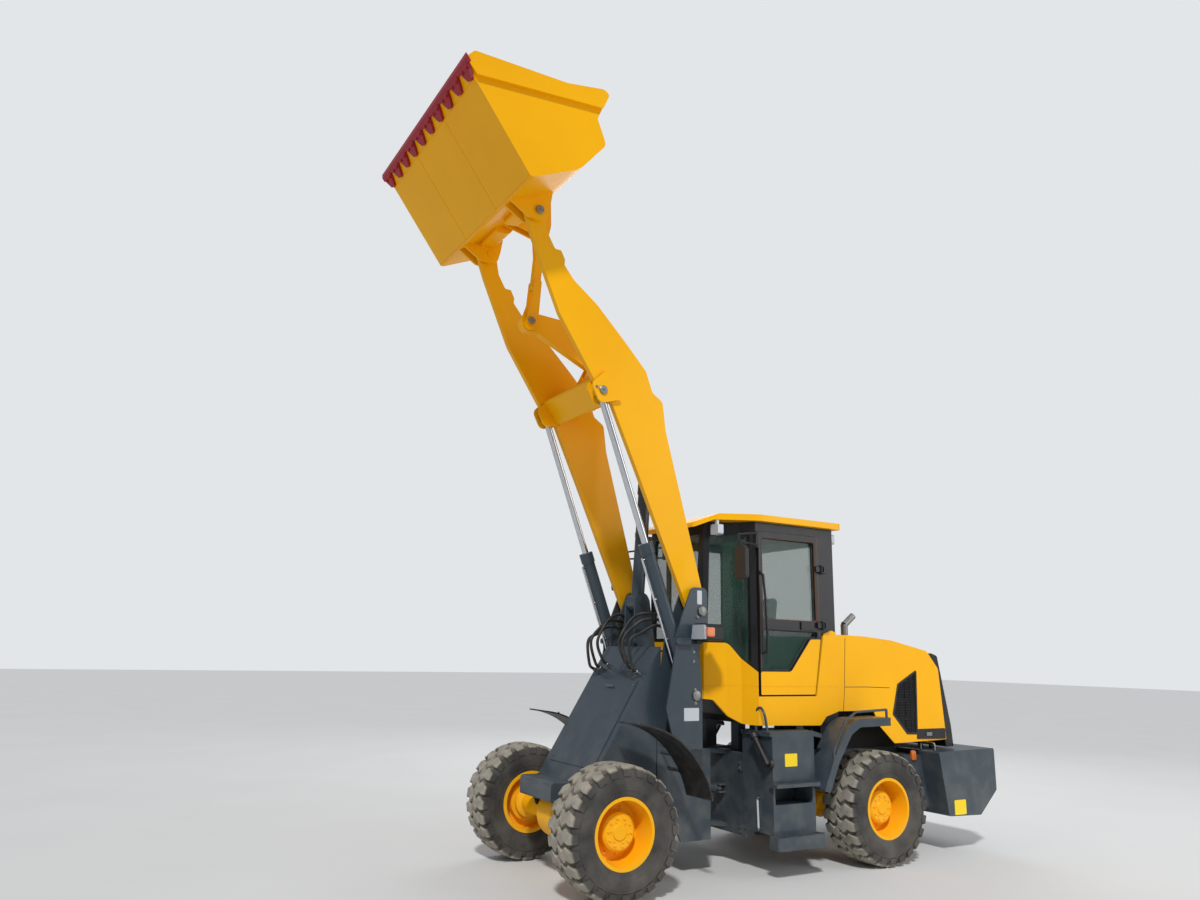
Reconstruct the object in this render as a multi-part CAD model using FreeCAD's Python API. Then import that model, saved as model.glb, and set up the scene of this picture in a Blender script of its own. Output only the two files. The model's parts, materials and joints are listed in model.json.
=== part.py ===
"""Compact articulated wheel loader, boom raised and bucket rolled back.

Millimetres. +X forward, +Y to the machine's left (door side), +Z up.
The origin is on the ground, midway between the axles and on the steering pivot's axis.
"""
import FreeCAD, Part
import math
import os

V = FreeCAD.Vector

# Driving dimensions: wheels
WHEELBASE = 2662.0
TRACK = 1536.0
TYRE_R = 470.0
TYRE_W = 350.0
LUG_DEPTH = 26.0
LUG_COUNT = 24
LUG_SHARE = 0.68
RIM_R = 237.0
RIM_W = 286.0
RIM_WALL = 10.0
HUB_R = 135.0
HUB_OUT = 60.0
AXLE_R = 88.0
AXLE_END_R = 70.0
FIT = 0.3
PIN_FIT = 0.05
GAP = 6.0

# Driving dimensions: frames
PLATE = 18.0
THIN = 6.0
PIVOT_LOW_Z = 300.0
PIVOT_HIGH_Z = 930.0
PIVOT_PIN_R = 40.0
RAIL_Y = 330.0

NOSE_TOP = (700.0, 1785.0)
NOSE_FOOT = (1350.0, 737.0)
NOSE_Y = 430.0
NOSE_TIP_Y = 240.0
NOSE_WALL = 12.0
STEER_Z = 610.0
STEER_BASE = (-98.0, 165.0)
STEER_EYE = (330.0, 150.0)
REAR_X = 2911.0

# Driving dimensions: cab and hood
CAB_Y = 680.0
CAB_WALL = 40.0
PANEL_Y = 700.0
GLASS = 5.0
CREASE_Z = 1475.0
DOOR_SKIN = 8.0
HOOD_Y = 660.0
HOOD_WALL = 8.0
DOOR_FRONT_X = -125.0
DOOR_REAR_X = -835.0
DOOR_PIN = (-835.0, 722.0)
DOOR_HINGES = (1975.0, 2470.0)
TOW_PIN_R = 20.0
HOOD_PIN = (-2545.0, 935.0)
ROOF_Z = 2870.0
ROOF_T = 55.0

FENDER_STAYS = [(690.0, 955.0), (620.0, 830.0)]

# Driving dimensions: boom, bucket and their linkage, as places in the raised pose
ARM_Y = 500.0
ARM_T = 50.0
BOOM_PIN = (390.0, 2080.0)
TIP_PIN = (2022.0, 5283.0)
LIFT_BASE = (450.0, 1400.0)
LIFT_EYE = (1372.0, 3847.0)
BELL_PIN = (1050.0, 4350.0)
LINK_LOW = (1821.0, 4515.0)
LINK_HIGH = (1750.0, 5410.0)
TILT_BASE = (660.0, 2160.0)
TILT_EYE = (540.0, 3930.0)
BIG_PIN_R = 30.0
ARM_BOSS_R = 85.0
FLOOR_HEEL = (2299.0, 5296.0)
FLOOR_TIP = (2911.0, 6113.0)
BUCKET_W = 1960.0
BUCKET_PLATE = 12.0
EDGE_W = 2100.0
EDGE_T = 22.0

# Driving dimensions: cylinders
LIFT_BARREL_R = 55.0
LIFT_BARREL_L = 1300.0
LIFT_ROD_R = 30.0
TILT_BARREL_R = 57.0
TILT_BARREL_L = 1060.0
TILT_ROD_R = 32.0
BELL_T = 70.0
EYE_W = 60.0
STEER_BARREL_R = 38.0
STEER_ROD_R = 18.0
STEER_PIN_R = 12.0
HOSE_R = 13.0


def save(name, shape):
    """Write one sub-part."""
    shape.exportStep("parts/" + name + ".step")


def box(x0, x1, y0, y1, z0, z1):
    return Part.makeBox(x1 - x0, y1 - y0, z1 - z0, V(x0, y0, z0))


def rod(start, end, radius):
    """A round bar from start to end."""
    a, b = V(*start), V(*end)
    return Part.makeCylinder(radius, (b - a).Length, a, b - a)


def tube(points, radius):
    """A bent tube of eight flats through the points, mitred at each."""
    line = [V(*p) for p in points]
    along = (line[1] - line[0]).normalize()
    side = along.cross(V(0.3, 0.2, 0.93)).normalize()
    rise = along.cross(side)
    ring = []
    for k in range(8):
        a = math.pi * (k / 4 + 0.125)
        ring.append(line[0] + side * (radius * math.cos(a)) + rise * (radius * math.sin(a)))
    path = Part.Wire(Part.makePolygon(line))
    return path.makePipeShell([Part.makePolygon(ring + ring[:1])], True, False, 1)


def cross_pin(place, y0, y1, radius):
    """A round bar along Y at a place (x, z)."""
    return Part.makeCylinder(radius, y1 - y0, V(place[0], y0, place[1]), V(0, 1, 0))


def corner_edges(points, put):
    """Straight edges with an arc at each corner. points are (a, b, corner radius)."""
    count = len(points)
    cuts = []
    for i in range(count):
        prev, here, nxt = points[i - 1], points[i], points[(i + 1) % count]
        p = V(here[0], here[1], 0)
        u = (V(prev[0], prev[1], 0) - p).normalize()
        w = (V(nxt[0], nxt[1], 0) - p).normalize()
        half = u.getAngle(w) / 2
        if here[2] == 0 or half > 1.56:
            cuts.append((p, p, p))
            continue
        room = 0.48 * min(math.dist(prev[:2], here[:2]), math.dist(nxt[:2], here[:2]))
        back = min(here[2] / math.tan(half), room)
        radius = back * math.tan(half)
        middle = (u + w).normalize() * (radius / math.sin(half) - radius)
        cuts.append((p + u * back, p + middle, p + w * back))
    edges = []
    for i in range(count):
        start, middle, end = cuts[i]
        if (end - start).Length > 0.01:
            edges.append(Part.Arc(put(start), put(middle), put(end)).toShape())
        follow = cuts[(i + 1) % count][0]
        if (follow - end).Length > 0.01:
            edges.append(Part.LineSegment(put(end), put(follow)).toShape())
    return edges


def side_face(points, y):
    """A face in the side view. points are (x, z, corner radius)."""
    return Part.Face(Part.Wire(corner_edges(points, lambda p: V(p.x, y, p.y))))


def side_plate(points, y0, y1):
    """A plate cut to a side-view outline, from y0 to y1."""
    return side_face(points, y0).extrude(V(0, y1 - y0, 0))


def top_plate(points, z0, z1):
    """A plate cut to a plan outline. points are (x, y, corner radius)."""
    face = Part.Face(Part.Wire(corner_edges(points, lambda p: V(p.x, p.y, z0))))
    return face.extrude(V(0, 0, z1 - z0))


def front_plate(points, x0, x1):
    """A plate cut to a front-view outline. points are (y, z, corner radius)."""
    face = Part.Face(Part.Wire(corner_edges(points, lambda p: V(x0, p.x, p.y))))
    return face.extrude(V(x1 - x0, 0, 0))


def both(shape):
    """A shape and its mirror image across the machine's middle."""
    return [shape, shape.mirror(V(0, 0, 0), V(0, 1, 0))]


def join(shapes):
    """Fuse a list of shapes into one, with leftover seams removed."""
    return shapes[0].multiFuse(shapes[1:]).removeSplitter()


def between(a, b, along, across=0.0):
    """A side-view place measured from a towards b, and across to the front of that line."""
    length = math.dist(a, b)
    ux, uz = (b[0] - a[0]) / length, (b[1] - a[1]) / length
    return (a[0] + ux * along + uz * across, a[1] + uz * along - ux * across)


AXLE_X = WHEELBASE / 2
WHEEL_Y = TRACK / 2


# Wheels

def frustum(y0, radius0, y1, radius1):
    """A many-sided cone along Y, one flat to each lug's pitch."""
    rings = []
    for y, radius in ((y0, radius0), (y1, radius1)):
        ring = []
        for k in range(LUG_COUNT):
            a = 2 * math.pi * (k + 0.5) / LUG_COUNT
            ring.append(V(radius * math.sin(a), y, radius * math.cos(a)))
        rings.append(ring)
    faces = [Part.Face(Part.makePolygon(ring + ring[:1])) for ring in rings]
    low, high = rings
    for k in range(LUG_COUNT):
        corners = [low[k - 1], low[k], high[k], high[k - 1]]
        faces.append(Part.Face(Part.makePolygon(corners + corners[:1])))
    solid = Part.makeSolid(Part.makeShell(faces))
    solid.fixTolerance(0.0001)
    if solid.Volume < 0:
        solid.reverse()
    return solid


def tyre(x, y):
    """Tyre of two rows of lugs, a half pitch apart, with raked shoulders and dished sidewalls."""
    half = TYRE_W / 2
    pitch = 2 * math.pi / LUG_COUNT
    lug = pitch * LUG_SHARE / 2
    rows = []
    for row in (0, 1):
        ring = []
        for k in range(LUG_COUNT):
            middle = pitch * (k + row / 2) + lug
            for turn, radius in ((-lug * 1.15, TYRE_R - LUG_DEPTH), (-lug, TYRE_R), (lug, TYRE_R),
                                 (lug * 1.15, TYRE_R - LUG_DEPTH)):
                a = middle + turn
                ring.append(V(radius * math.sin(a), -half * row, -radius * math.cos(a)))
        rows.append(Part.Face(Part.makePolygon(ring + ring[:1])).extrude(V(0, half, 0)))
    shape = rows[0].fuse(rows[1])
    shoulder = frustum(half - 45, TYRE_R * 1.02, half, TYRE_R * 0.9)
    dish = frustum(RIM_W / 2 + 12 + FIT, RIM_R + 22, half + 1, RIM_R + 95)
    for way in (1, -1):
        turned = V(0, 0, 0), V(1, 0, 0), 0 if way > 0 else 180
        cone, bowl = shoulder.copy(), dish.copy()
        cone.rotate(*turned)
        bowl.rotate(*turned)
        outer = Part.makeCylinder(TYRE_R + 50, 46, V(0, way * (half - 45), 0), V(0, way, 0))
        shape = shape.cut(outer.cut(cone)).cut(bowl)
    shape = shape.cut(Part.makeCylinder(RIM_R - 4 + FIT, TYRE_W, V(0, -half, 0), V(0, 1, 0)))
    for way in (1, -1):
        foot = V(0, way * (RIM_W / 2 - FIT), 0)
        shape = shape.cut(Part.makeCylinder(RIM_R + 14 + FIT, 60, foot, V(0, way, 0)))
    shape = shape.removeSplitter()
    shape.translate(V(x, y, TYRE_R))
    return shape


def rim(x, y):
    """Dished wheel: barrel with flanges, disc set inboard, hub cover with two bolt circles."""
    out = 1 if y > 0 else -1
    half = RIM_W / 2
    disc = -40.0
    # Section: across (outboard positive), radius
    section = [(-half - 12, RIM_R + 14), (-half, RIM_R + 14), (-half, RIM_R - 4), (half, RIM_R - 4),
               (half, RIM_R + 14), (half + 12, RIM_R + 14), (half + 12, RIM_R - RIM_WALL),
               (half - 30, RIM_R - RIM_WALL - 8), (disc + 10, RIM_R - RIM_WALL - 24),
               (disc + 10, HUB_R + 14), (disc + 30, HUB_R), (HUB_OUT, HUB_R), (HUB_OUT + 16, HUB_R - 18),
               (HUB_OUT + 16, 60),
               (HUB_OUT + 26, 52), (HUB_OUT + 26, 0), (disc - 60, 0), (disc - 60, HUB_R + 20),
               (disc - 10, HUB_R + 30), (disc - 10, RIM_R - RIM_WALL - 8),
               (-half - 12, RIM_R - RIM_WALL - 6)]
    wire = Part.makePolygon([V(0, a * out, b) for a, b in section + section[:1]])
    shape = Part.Face(wire).revolve(V(0, 0, 0), V(0, 1, 0), 360)
    bore = Part.makeCylinder(AXLE_END_R + PIN_FIT, 60, V(0, (disc - 60) * out, 0), V(0, out, 0))
    shape = shape.cut(bore)
    shape.translate(V(x, y, TYRE_R))
    return shape


def axle(x):
    """Rigid axle: centre casing, tapered arms and spindle ends that carry the wheels."""
    disc_in = WHEEL_Y - 40.0 - 60.0
    # Section: half width, radius
    section = [(0, 0), (0, 190), (110, 190), (170, 130), (260, AXLE_R), (disc_in - 60, AXLE_R),
               (disc_in - 40, 125), (disc_in - GAP, 125), (disc_in - GAP, AXLE_END_R),
               (disc_in + 50, AXLE_END_R), (disc_in + 50, 0)]
    wire = Part.makePolygon([V(0, a, b) for a, b in section + section[:1]])
    arm = Part.Face(wire).revolve(V(0, 0, 0), V(0, 1, 0), 360)
    shape = join(both(arm))
    shape.translate(V(x, 0, TYRE_R))
    return shape


# Rear frame

def rear_chassis():
    """Two rails, cross members, the hinge post with its plates and the front uprights."""
    pieces = []
    rail = [(-2200, 560, 30), (-2200, 900, 30), (-1100, 900, 60), (-160, 900, 0), (-160, 420, 0),
            (-800, 420, 80), (-1120, 640, 60), (-1560, 640, 60), (-1800, 560, 60)]
    pieces += both(side_plate(rail, RAIL_Y - PLATE, RAIL_Y))
    for x in (-2120.0, -1040.0, -300.0):
        pieces.append(box(x, x + PLATE, -RAIL_Y + PLATE, RAIL_Y - PLATE, 640, 880))
    upright = [(-160, 262, 10), (-160, 925, 10), (-130, 925, 10), (-130, 262, 10)]
    post = side_plate(upright, -450, 450)
    pieces.append(post)
    pieces += both(box(-230, -130, 430, 470 - FIT, 262, 925))
    pieces += both(box(-540, -480, RAIL_Y, 470 - FIT, 640, 760))
    for x in (-930.0, -260.0):
        pieces += both(box(x, x + 80, 230, RAIL_Y, 880, 1170 - FIT))
    for z in (PIVOT_LOW_Z, PIVOT_HIGH_Z - 2 * PLATE):
        tongue = [(-160, -260, 0), (-40, -110, 60), (70, -70, 60), (70, 70, 60), (-40, 110, 60),
                  (-160, 260, 0)]
        plate = top_plate(tongue, z, z + 2 * PLATE)
        pieces.append(plate.cut(Part.makeCylinder(PIVOT_PIN_R + PIN_FIT, 200, V(0, 0, z - 50))))
    saddle = [(-AXLE_X - 170, 660, 0), (-AXLE_X - 110, 560, 40), (-AXLE_X + 110, 560, 40),
              (-AXLE_X + 170, 660, 0),
              (-AXLE_X + 170, 720, 0), (-AXLE_X - 170, 720, 0)]
    shape = join(pieces)
    cradle = side_plate(saddle, -RAIL_Y + PLATE, RAIL_Y - PLATE)
    cradle = cradle.cut(cross_pin((-AXLE_X, TYRE_R), -RAIL_Y, RAIL_Y, 190))
    shape = shape.fuse(cradle)
    steer_ears = []
    for z in (STEER_Z - 38, STEER_Z + 24):
        ear = top_plate([(-160, 115, 0), (-66, 125, 30), (-66, 205, 30), (-160, 215, 0)], z, z + 14)
        steer_ears += both(ear)
    place = V(STEER_BASE[0], STEER_BASE[1], STEER_Z - 38)
    steer_ears += both(Part.makeCylinder(STEER_PIN_R, 76, place))
    return shape.multiFuse(steer_ears).removeSplitter()


def counterweight():
    """Cast block across the rear, with a raked underside and a waist inboard of the wheels."""
    outline = [(-2130, 895, 20), (-2226, 332, 20), (-2662, 318, 30), (-REAR_X, 527, 30), (-REAR_X, 905, 20)]
    block = side_plate(outline, -820, 820)
    neck = side_plate([(-1921, 560, 30), (-1921, 850, 10), (-2300, 850, 0), (-2300, 380, 30),
                       (-2120, 380, 40)],
                      -600, 600)
    shape = block.fuse(neck).removeSplitter()
    notch = box(-2200 - FIT, -1900, -RAIL_Y - FIT, RAIL_Y + FIT, 300, 920)
    shape = shape.cut(notch)
    # Towing clevis: a slot for the drawbar's eye, a pocket over it and the pin's bore
    shape = shape.cut(box(-2930, -2790, -75, 75, 580, 650)).cut(box(-2930, -2790, -75, 75, 700, 920))
    shape = shape.cut(Part.makeCylinder(TOW_PIN_R, 200, V(-2850, 0, 520)))
    # Hinge ears that carry the hood's rear edge
    ears = []
    for y in (250.0, 382.0):
        ear = side_plate([(HOOD_PIN[0] - 30, 900, 0), (HOOD_PIN[0] - 25, 955, 20),
                          (HOOD_PIN[0] + 25, 955, 20),
                          (HOOD_PIN[0] + 30, 900, 0)], y, y + 14)
        ears += both(ear)
    ears += both(cross_pin(HOOD_PIN, 250, 396, 10))
    return shape.multiFuse(ears).removeSplitter()


def engine_block():
    return box(-2100, -1150, -320, 320, 900, 1500)


def platform(side):
    """Tank box with a tread top cut back for the tower's swing, an open step, and a bottom step."""
    tank = box(-560, -110, 470, 850, 330, 1100)
    recess = [(-530, 560, 20), (-530, 700, 20), (-130, 700, 20), (-130, 560, 20)]
    tank = tank.cut(side_plate(recess, 620, 900))
    tread = side_plate([(-660, 1062, 10), (-655, 1096, 10), (-560, 1122, 20), (-90, 1122, 0), (-90, 1086, 0),
                        (-540, 1086, 20)], 470, 850)
    plan = [(-700, 470, 0), (-90, 470, 20), (-90, 850, 10), (-700, 850, 0)]
    tread = tread.common(top_plate(plan, 1000, 1200))
    step = box(-545, -80, 840, 930, 700, 727)
    low = top_plate([(-570, 840, 0), (-570, 950, 20), (-70, 950, 20), (-70, 840, 0)], 235, 335)
    low = low.cut(top_plate([(-540, 851, 0), (-540, 925, 10), (-100, 925, 10), (-100, 851, 0)], 230, 340))
    shape = join([tank, tread, step, low])
    return shape if side > 0 else shape.mirror(V(0, 0, 0), V(0, 1, 0))


def rear_fender(side):
    """Folded band over the wheel, its flats joined by bends, on two brackets from the rail."""
    band = 24.0
    outline = [(-590, 650, 8), (-704, 894, 60), (-870, 1130, 60), (-985, 1195, 60), (-1369, 1200, 4),
               (-1365, 1200 + band, 4), (-975, 1195 + band, 70), (-850, 1150, 70), (-680, 905, 70),
               (-566, 660, 8)]
    lip = [(-628, 640, 8), (-742, 876, 60), (-895, 1092, 60), (-1000, 1150, 60), (-1369, 1155, 4),
           (-1365, 1200 + band, 4), (-975, 1195 + band, 70), (-850, 1150, 70), (-680, 905, 70),
           (-566, 660, 8)]
    rail = tube([(-690, 948, 960), (-712, 948, 1010), (-830, 948, 1205), (-960, 948, 1275),
                 (-1330, 948, 1290)], 11)
    posts = [rod((-690, 948, 900), (-690, 948, 962), 11), rod((-1330, 948, 1200), (-1330, 948, 1292), 11)]
    foot = RAIL_Y + FIT
    pieces = [side_plate(outline, 712, 960), side_plate(lip, 946, 958), rail] + posts
    pieces += [box(-695, -655, foot, 720, 850, 880),
              box(-1362, -1340, foot, foot + 16, 700, 1196), box(-1362, -1340, foot, 720, 1170, 1200)]
    shape = join(pieces)
    return shape if side > 0 else shape.mirror(V(0, 0, 0), V(0, 1, 0))


# Cab

# Cab plan: along, across. The front corners are cut back so the towers can swing past
CAB_PLAN = [(-1020, 680), (-115, 680), (-45, 555), (60, 478), (245, 408), (285, 340),
            (285, -340), (245, -408), (60, -478), (-45, -555), (-115, -680), (-1020, -680)]
# The front bay begins where the plan bends inward
CAB_SPLIT = -45.0
CAB_SIDE = [(300, 1400, 10), (300, 1830, 30), (235, 2870, 10), (-1020, 2870, 10), (-1020, 1170, 20),
            (-60, 1170, 60), (60, 1235, 40), (180, 1370, 20)]
CORNER_WINDOW = [(214, 1850, 20), (75, 1850, 40), (-88, 1625, 20), (-88, 2760, 20), (190, 2760, 20)]
RIGHT_WINDOW = [(-150, 1610, 20), (-475, 1610, 40), (-711, 1886, 40), (-790, 1890, 20), (-790, 2755, 30),
                (-150, 2755, 30)]
SCREEN = [(-345, 1860, 30), (345, 1860, 30), (345, 2760, 30), (-345, 2760, 30)]
REAR_WINDOW = [(-560, 1960, 30), (560, 1960, 30), (560, 2740, 30), (-560, 2740, 30)]
DOOR_CUT = [(DOOR_FRONT_X, 1400, 10), (DOOR_FRONT_X, 2790, 20), (DOOR_REAR_X, 2790, 20),
            (DOOR_REAR_X, 1890, 10), (-745, 1400, 10)]


def cab_prism(grow, z0, z1):
    """An upright block on the cab's plan, grown or shrunk all round."""
    wire = Part.makePolygon([V(x, y, z0) for x, y in CAB_PLAN + CAB_PLAN[:1]])
    if grow:
        wire = wire.makeOffset2D(grow, 2)
    return Part.Face(wire).extrude(V(0, 0, z1 - z0))


def cab_side(inset):
    """The cab's side view as a block, drawn in by a wall thickness."""
    face = side_face(CAB_SIDE, -800)
    if inset:
        face = Part.Face(face.OuterWire.makeOffset2D(-inset, 2))
    return face.extrude(V(0, 1600, 0))


def window_cuts():
    """The blocks that cut every opening through the cab's walls."""
    corner = both(side_plate(CORNER_WINDOW, 385, 720))
    right = side_plate(RIGHT_WINDOW, -720, -620)
    return corner + [right, front_plate(SCREEN, 150, 400), front_plate(REAR_WINDOW, -1060, -950)]


def cab_walls():
    """The hollow cab all round, with its windows and door cut through."""
    shape = cab_prism(0, 1100, 2900).common(cab_side(0))
    shape = shape.cut(cab_prism(-CAB_WALL, 1100, 2900).common(cab_side(CAB_WALL)))
    for cut in window_cuts() + [side_plate(DOOR_CUT, CAB_Y - CAB_WALL - 1, CAB_Y + 1)]:
        shape = shape.cut(cut)
    return shape


def cab_front():
    """Front bay: windscreen posts, cowl and the front of the roof rails."""
    return cab_walls().common(box(CAB_SPLIT, 400, -800, 800, 1000, 3000))


def cab_shell():
    """Rear bay: door posts, floor, rear wall and roof rails, with the door's hinge brackets."""
    shape = cab_walls().cut(box(CAB_SPLIT - FIT, 400, -800, 800, 1000, 3000))
    hinges = []
    for z in DOOR_HINGES:
        plan = [(-905, CAB_Y - 2, 0), (-850, CAB_Y - 2, 0), (-850, 705, 0), (-821, 705, 0), (-821, 736, 12),
                (-905, 736, 12)]
        hinges += [top_plate(plan, z - 10, z), top_plate(plan, z + 50, z + 60)]
        hinges.append(Part.makeCylinder(8, 70, V(DOOR_PIN[0], DOOR_PIN[1], z - 10)))
        hinges.append(box(-905, -855, CAB_Y - 2, 736, z - 10, z + 60))
    return join([shape] + hinges)


def cab_glass():
    """Bent corner panes, windscreen, right and rear panes set in the window cuts."""
    outer = cab_prism(-16, 1200, 2860).common(cab_side(16))
    skin = outer.cut(cab_prism(-16 - GLASS, 1200, 2860).common(cab_side(16 + GLASS)))
    return Part.makeCompound([skin.common(cut) for cut in window_cuts()])


def cab_panels():
    """Moulded lower body: side skins round the front corners, and the rear quarters."""
    outline = [(330, 1371, 10), (330, 1830, 10), (60, 1830, 60), (-105, 1592, 20), (-105, 1395, 0),
               (-755, 1395, 0), (-850, 1890, 10), (-860, 1930, 20), (-960, 1960, 30), (-1010, 1940, 20),
               (-1030, 1756, 20), (-1005, 1262, 10), (-861, 1223, 20), (-792, 1150, 40), (-40, 1165, 90),
               (60, 1225, 60), (183, 1359, 30)]
    skin = cab_prism(PANEL_Y - CAB_Y, 1100, 2000).cut(cab_prism(FIT, 1000, 2100))
    skin = skin.cut(box(-1100, -1019, -800, 800, 1000, 2100))
    crease = cab_prism(PANEL_Y - CAB_Y + 5, CREASE_Z - 3, CREASE_Z + 3)
    skin = skin.cut(crease.cut(cab_prism(PANEL_Y - CAB_Y - 3, 1400, 1600)))
    return skin.common(side_plate(outline, -800, 800))


def cab_roof():
    """Pressed roof with a visor lip over the windscreen."""
    outline = [(400, 2800, 5), (395, 2845, 20), (200, ROOF_Z + ROOF_T, 60), (-1090, ROOF_Z + ROOF_T, 30),
               (-1095, ROOF_Z + FIT, 10), (237, ROOF_Z + FIT, 10)]
    plan = [(-1095, -745, 60), (-120, -745, 150), (400, -480, 60), (400, 480, 60), (-120, 745, 150),
            (-1095, 745, 60)]
    return side_plate(outline, -760, 760).common(top_plate(plan, 2780, 2960))


def seat():
    base = box(-620, -200, -230, 230, 1210, 1500)
    cushion = box(-640, -150, -250, 250, 1500, 1610)
    back = side_plate([(-640, 1610, 20), (-520, 1610, 20), (-640, 2250, 40), (-740, 2250, 40)], -240, 240)
    return base.multiFuse([cushion, back]).removeSplitter()


def steering_column():
    post = rod((160, 0, 1460), (-14, 0, 1962), 34)
    foot = box(60, 240, -120, 120, 1240, 1560).common(cab_side(CAB_WALL + FIT))
    hub = V(-14, 0, 1962)
    turn = math.degrees(math.atan(0.338))
    turns = [math.pi * k / 4 + math.pi / 8 for k in range(8)]
    ring = [V(180 + 14 * math.cos(a), 0, 14 * math.sin(a)) for a in turns]
    wheel = Part.Face(Part.makePolygon(ring + ring[:1])).revolve(V(0, 0, 0), V(0, 0, 1), 360)
    wheel = wheel.fuse(rod((-176, 0, 0), (176, 0, 0), 11)).fuse(rod((0, 0, 0), (0, -176, 0), 11))
    wheel.rotate(V(0, 0, 0), V(0, 1, 0), -turn)
    wheel.translate(hub)
    return join([post, foot, wheel])


DOOR_PANES = [[(-170, 1610, 20), (-475, 1610, 40), (-700, 1886, 40), (-785, 1890, 20), (-785, 1940, 10),
               (-170, 1950, 10)],
              [(-170, 2035, 10), (-785, 2030, 10), (-780, 2735, 30), (-170, 2735, 30)]]
SKIN_LINE = [(-134, 1409, 10), (-134, 1598, 20), (-469, 1598, 50), (-704, 1875, 40), (-822, 1878, 10),
             (-738, 1409, 10)]


def door_frame():
    """Left door: framed windows above, a rebate for the skin below."""
    inset = GAP
    outline = [(DOOR_FRONT_X - inset, 1400 + inset, 10), (DOOR_FRONT_X - inset, 2790 - inset, 20),
               (DOOR_REAR_X + inset, 2790 - inset, 20), (DOOR_REAR_X + inset, 1892, 10),
               (-745 + inset, 1400 + inset, 10)]
    shape = side_plate(outline, CAB_Y - CAB_WALL, PANEL_Y)
    for hole in DOOR_PANES:
        shape = shape.cut(side_plate(hole, CAB_Y - CAB_WALL - 1, PANEL_Y + 1))
    rebate = side_face(SKIN_LINE, PANEL_Y - DOOR_SKIN).OuterWire.makeOffset2D(FIT, 2)
    shape = shape.cut(Part.Face(rebate).extrude(V(0, DOOR_SKIN + 1, 0)))
    grip_y = PANEL_Y + 38
    grip = tube([(-150, PANEL_Y - 4, 1745), (-172, grip_y, 1765), (-180, grip_y, 1900), (-165, grip_y, 2200),
                 (-145, grip_y, 2400), (-143, PANEL_Y - 4, 2436)], 11)
    latch = box(-740, -590, PANEL_Y - 2, PANEL_Y + 12, 1955, 2025)
    knuckles = []
    for z in DOOR_HINGES:
        leaf = box(DOOR_REAR_X + inset, DOOR_REAR_X + 60, PANEL_Y - 2, DOOR_PIN[1], z + 1, z + 49)
        knuckles += [leaf, Part.makeCylinder(14, 48, V(DOOR_PIN[0], DOOR_PIN[1], z + 1))]
    shape = join([shape, grip, latch] + knuckles)
    for z in DOOR_HINGES:
        shape = shape.cut(Part.makeCylinder(8 + PIN_FIT, 80, V(DOOR_PIN[0], DOOR_PIN[1], z - 15)))
    return shape


def door_skin():
    """Moulded skin on the door's lower part, creased in line with the cab's panels."""
    skin = side_plate(SKIN_LINE, PANEL_Y - DOOR_SKIN + FIT, PANEL_Y)
    return skin.cut(box(-900, 0, PANEL_Y - 3, PANEL_Y + 5, CREASE_Z - 3, CREASE_Z + 3))


def door_glass():
    return Part.makeCompound([side_plate(p, CAB_Y - 22, CAB_Y - 22 + GLASS) for p in DOOR_PANES])


# Hood

def hood_outline(inset):
    i = inset
    return [(-1040 - i, 1262 + i, 10), (-1060 - i, 1700, 20), (-1045 - i, 1900 - i, 20),
            (-1085, 1927 - i, 20), (-1400, 1920 - i, 200), (-1748, 1893 - i, 200),
            (-2230 + i / 2, 1804 - i, 80), (-2380 + i, 1640, 60), (-2440 + i, 985 + i, 10),
            (-1735, 970 + i, 20), (-1560 + i / 2, 1120 + i, 40), (-1480, 1262 + i, 40)]


GRILLE_SIDE = [(-2073, 1629, 15), (-1807, 1497, 15), (-1725, 1225, 15), (-1902, 1045, 15), (-2045, 1040, 15)]


def hood_shell():
    """Moulded engine hood, open below, with a vent each side."""
    shape = side_plate(hood_outline(0), -HOOD_Y, HOOD_Y)
    inner = side_plate(hood_outline(HOOD_WALL), -HOOD_Y + HOOD_WALL, HOOD_Y - HOOD_WALL)
    shape = shape.cut(inner)
    shape = shape.cut(box(-2436, -1050, -HOOD_Y + HOOD_WALL, HOOD_Y - HOOD_WALL, 900, 1290))
    shape = shape.cut(side_plate(GRILLE_SIDE, -HOOD_Y - 1, HOOD_Y + 1))
    shape = shape.cut(box(-2500, -2250, -430, 430, 1100, 1580))
    return shape


def hood_grilles():
    """Side vents: a frame round crossed bars."""
    inner = [(-2055, 1600, 10), (-1822, 1484, 10), (-1745, 1230, 10), (-1910, 1066, 10), (-2030, 1062, 10)]
    frame = side_plate(GRILLE_SIDE, HOOD_Y - 16, HOOD_Y + 4).cut(side_plate(inner, HOOD_Y - 17, HOOD_Y + 5))
    field = side_plate(inner, HOOD_Y - 14, HOOD_Y - 4)
    bars = []
    for k in range(6):
        z = 1090 + 84 * k
        bars.append(box(-2060, -1720, HOOD_Y - 12, HOOD_Y - 6, z, z + 16))
    for k in range(4):
        x = -2000 + 76 * k
        bars.append(box(x, x + 16, HOOD_Y - 12, HOOD_Y - 6, 1040, 1620))
    mesh = join(bars).common(field)
    backing = side_plate(GRILLE_SIDE, HOOD_Y - 20, HOOD_Y - 15)
    shape = frame.multiFuse([mesh, backing]).removeSplitter()
    return Part.makeCompound(both(shape))


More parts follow.
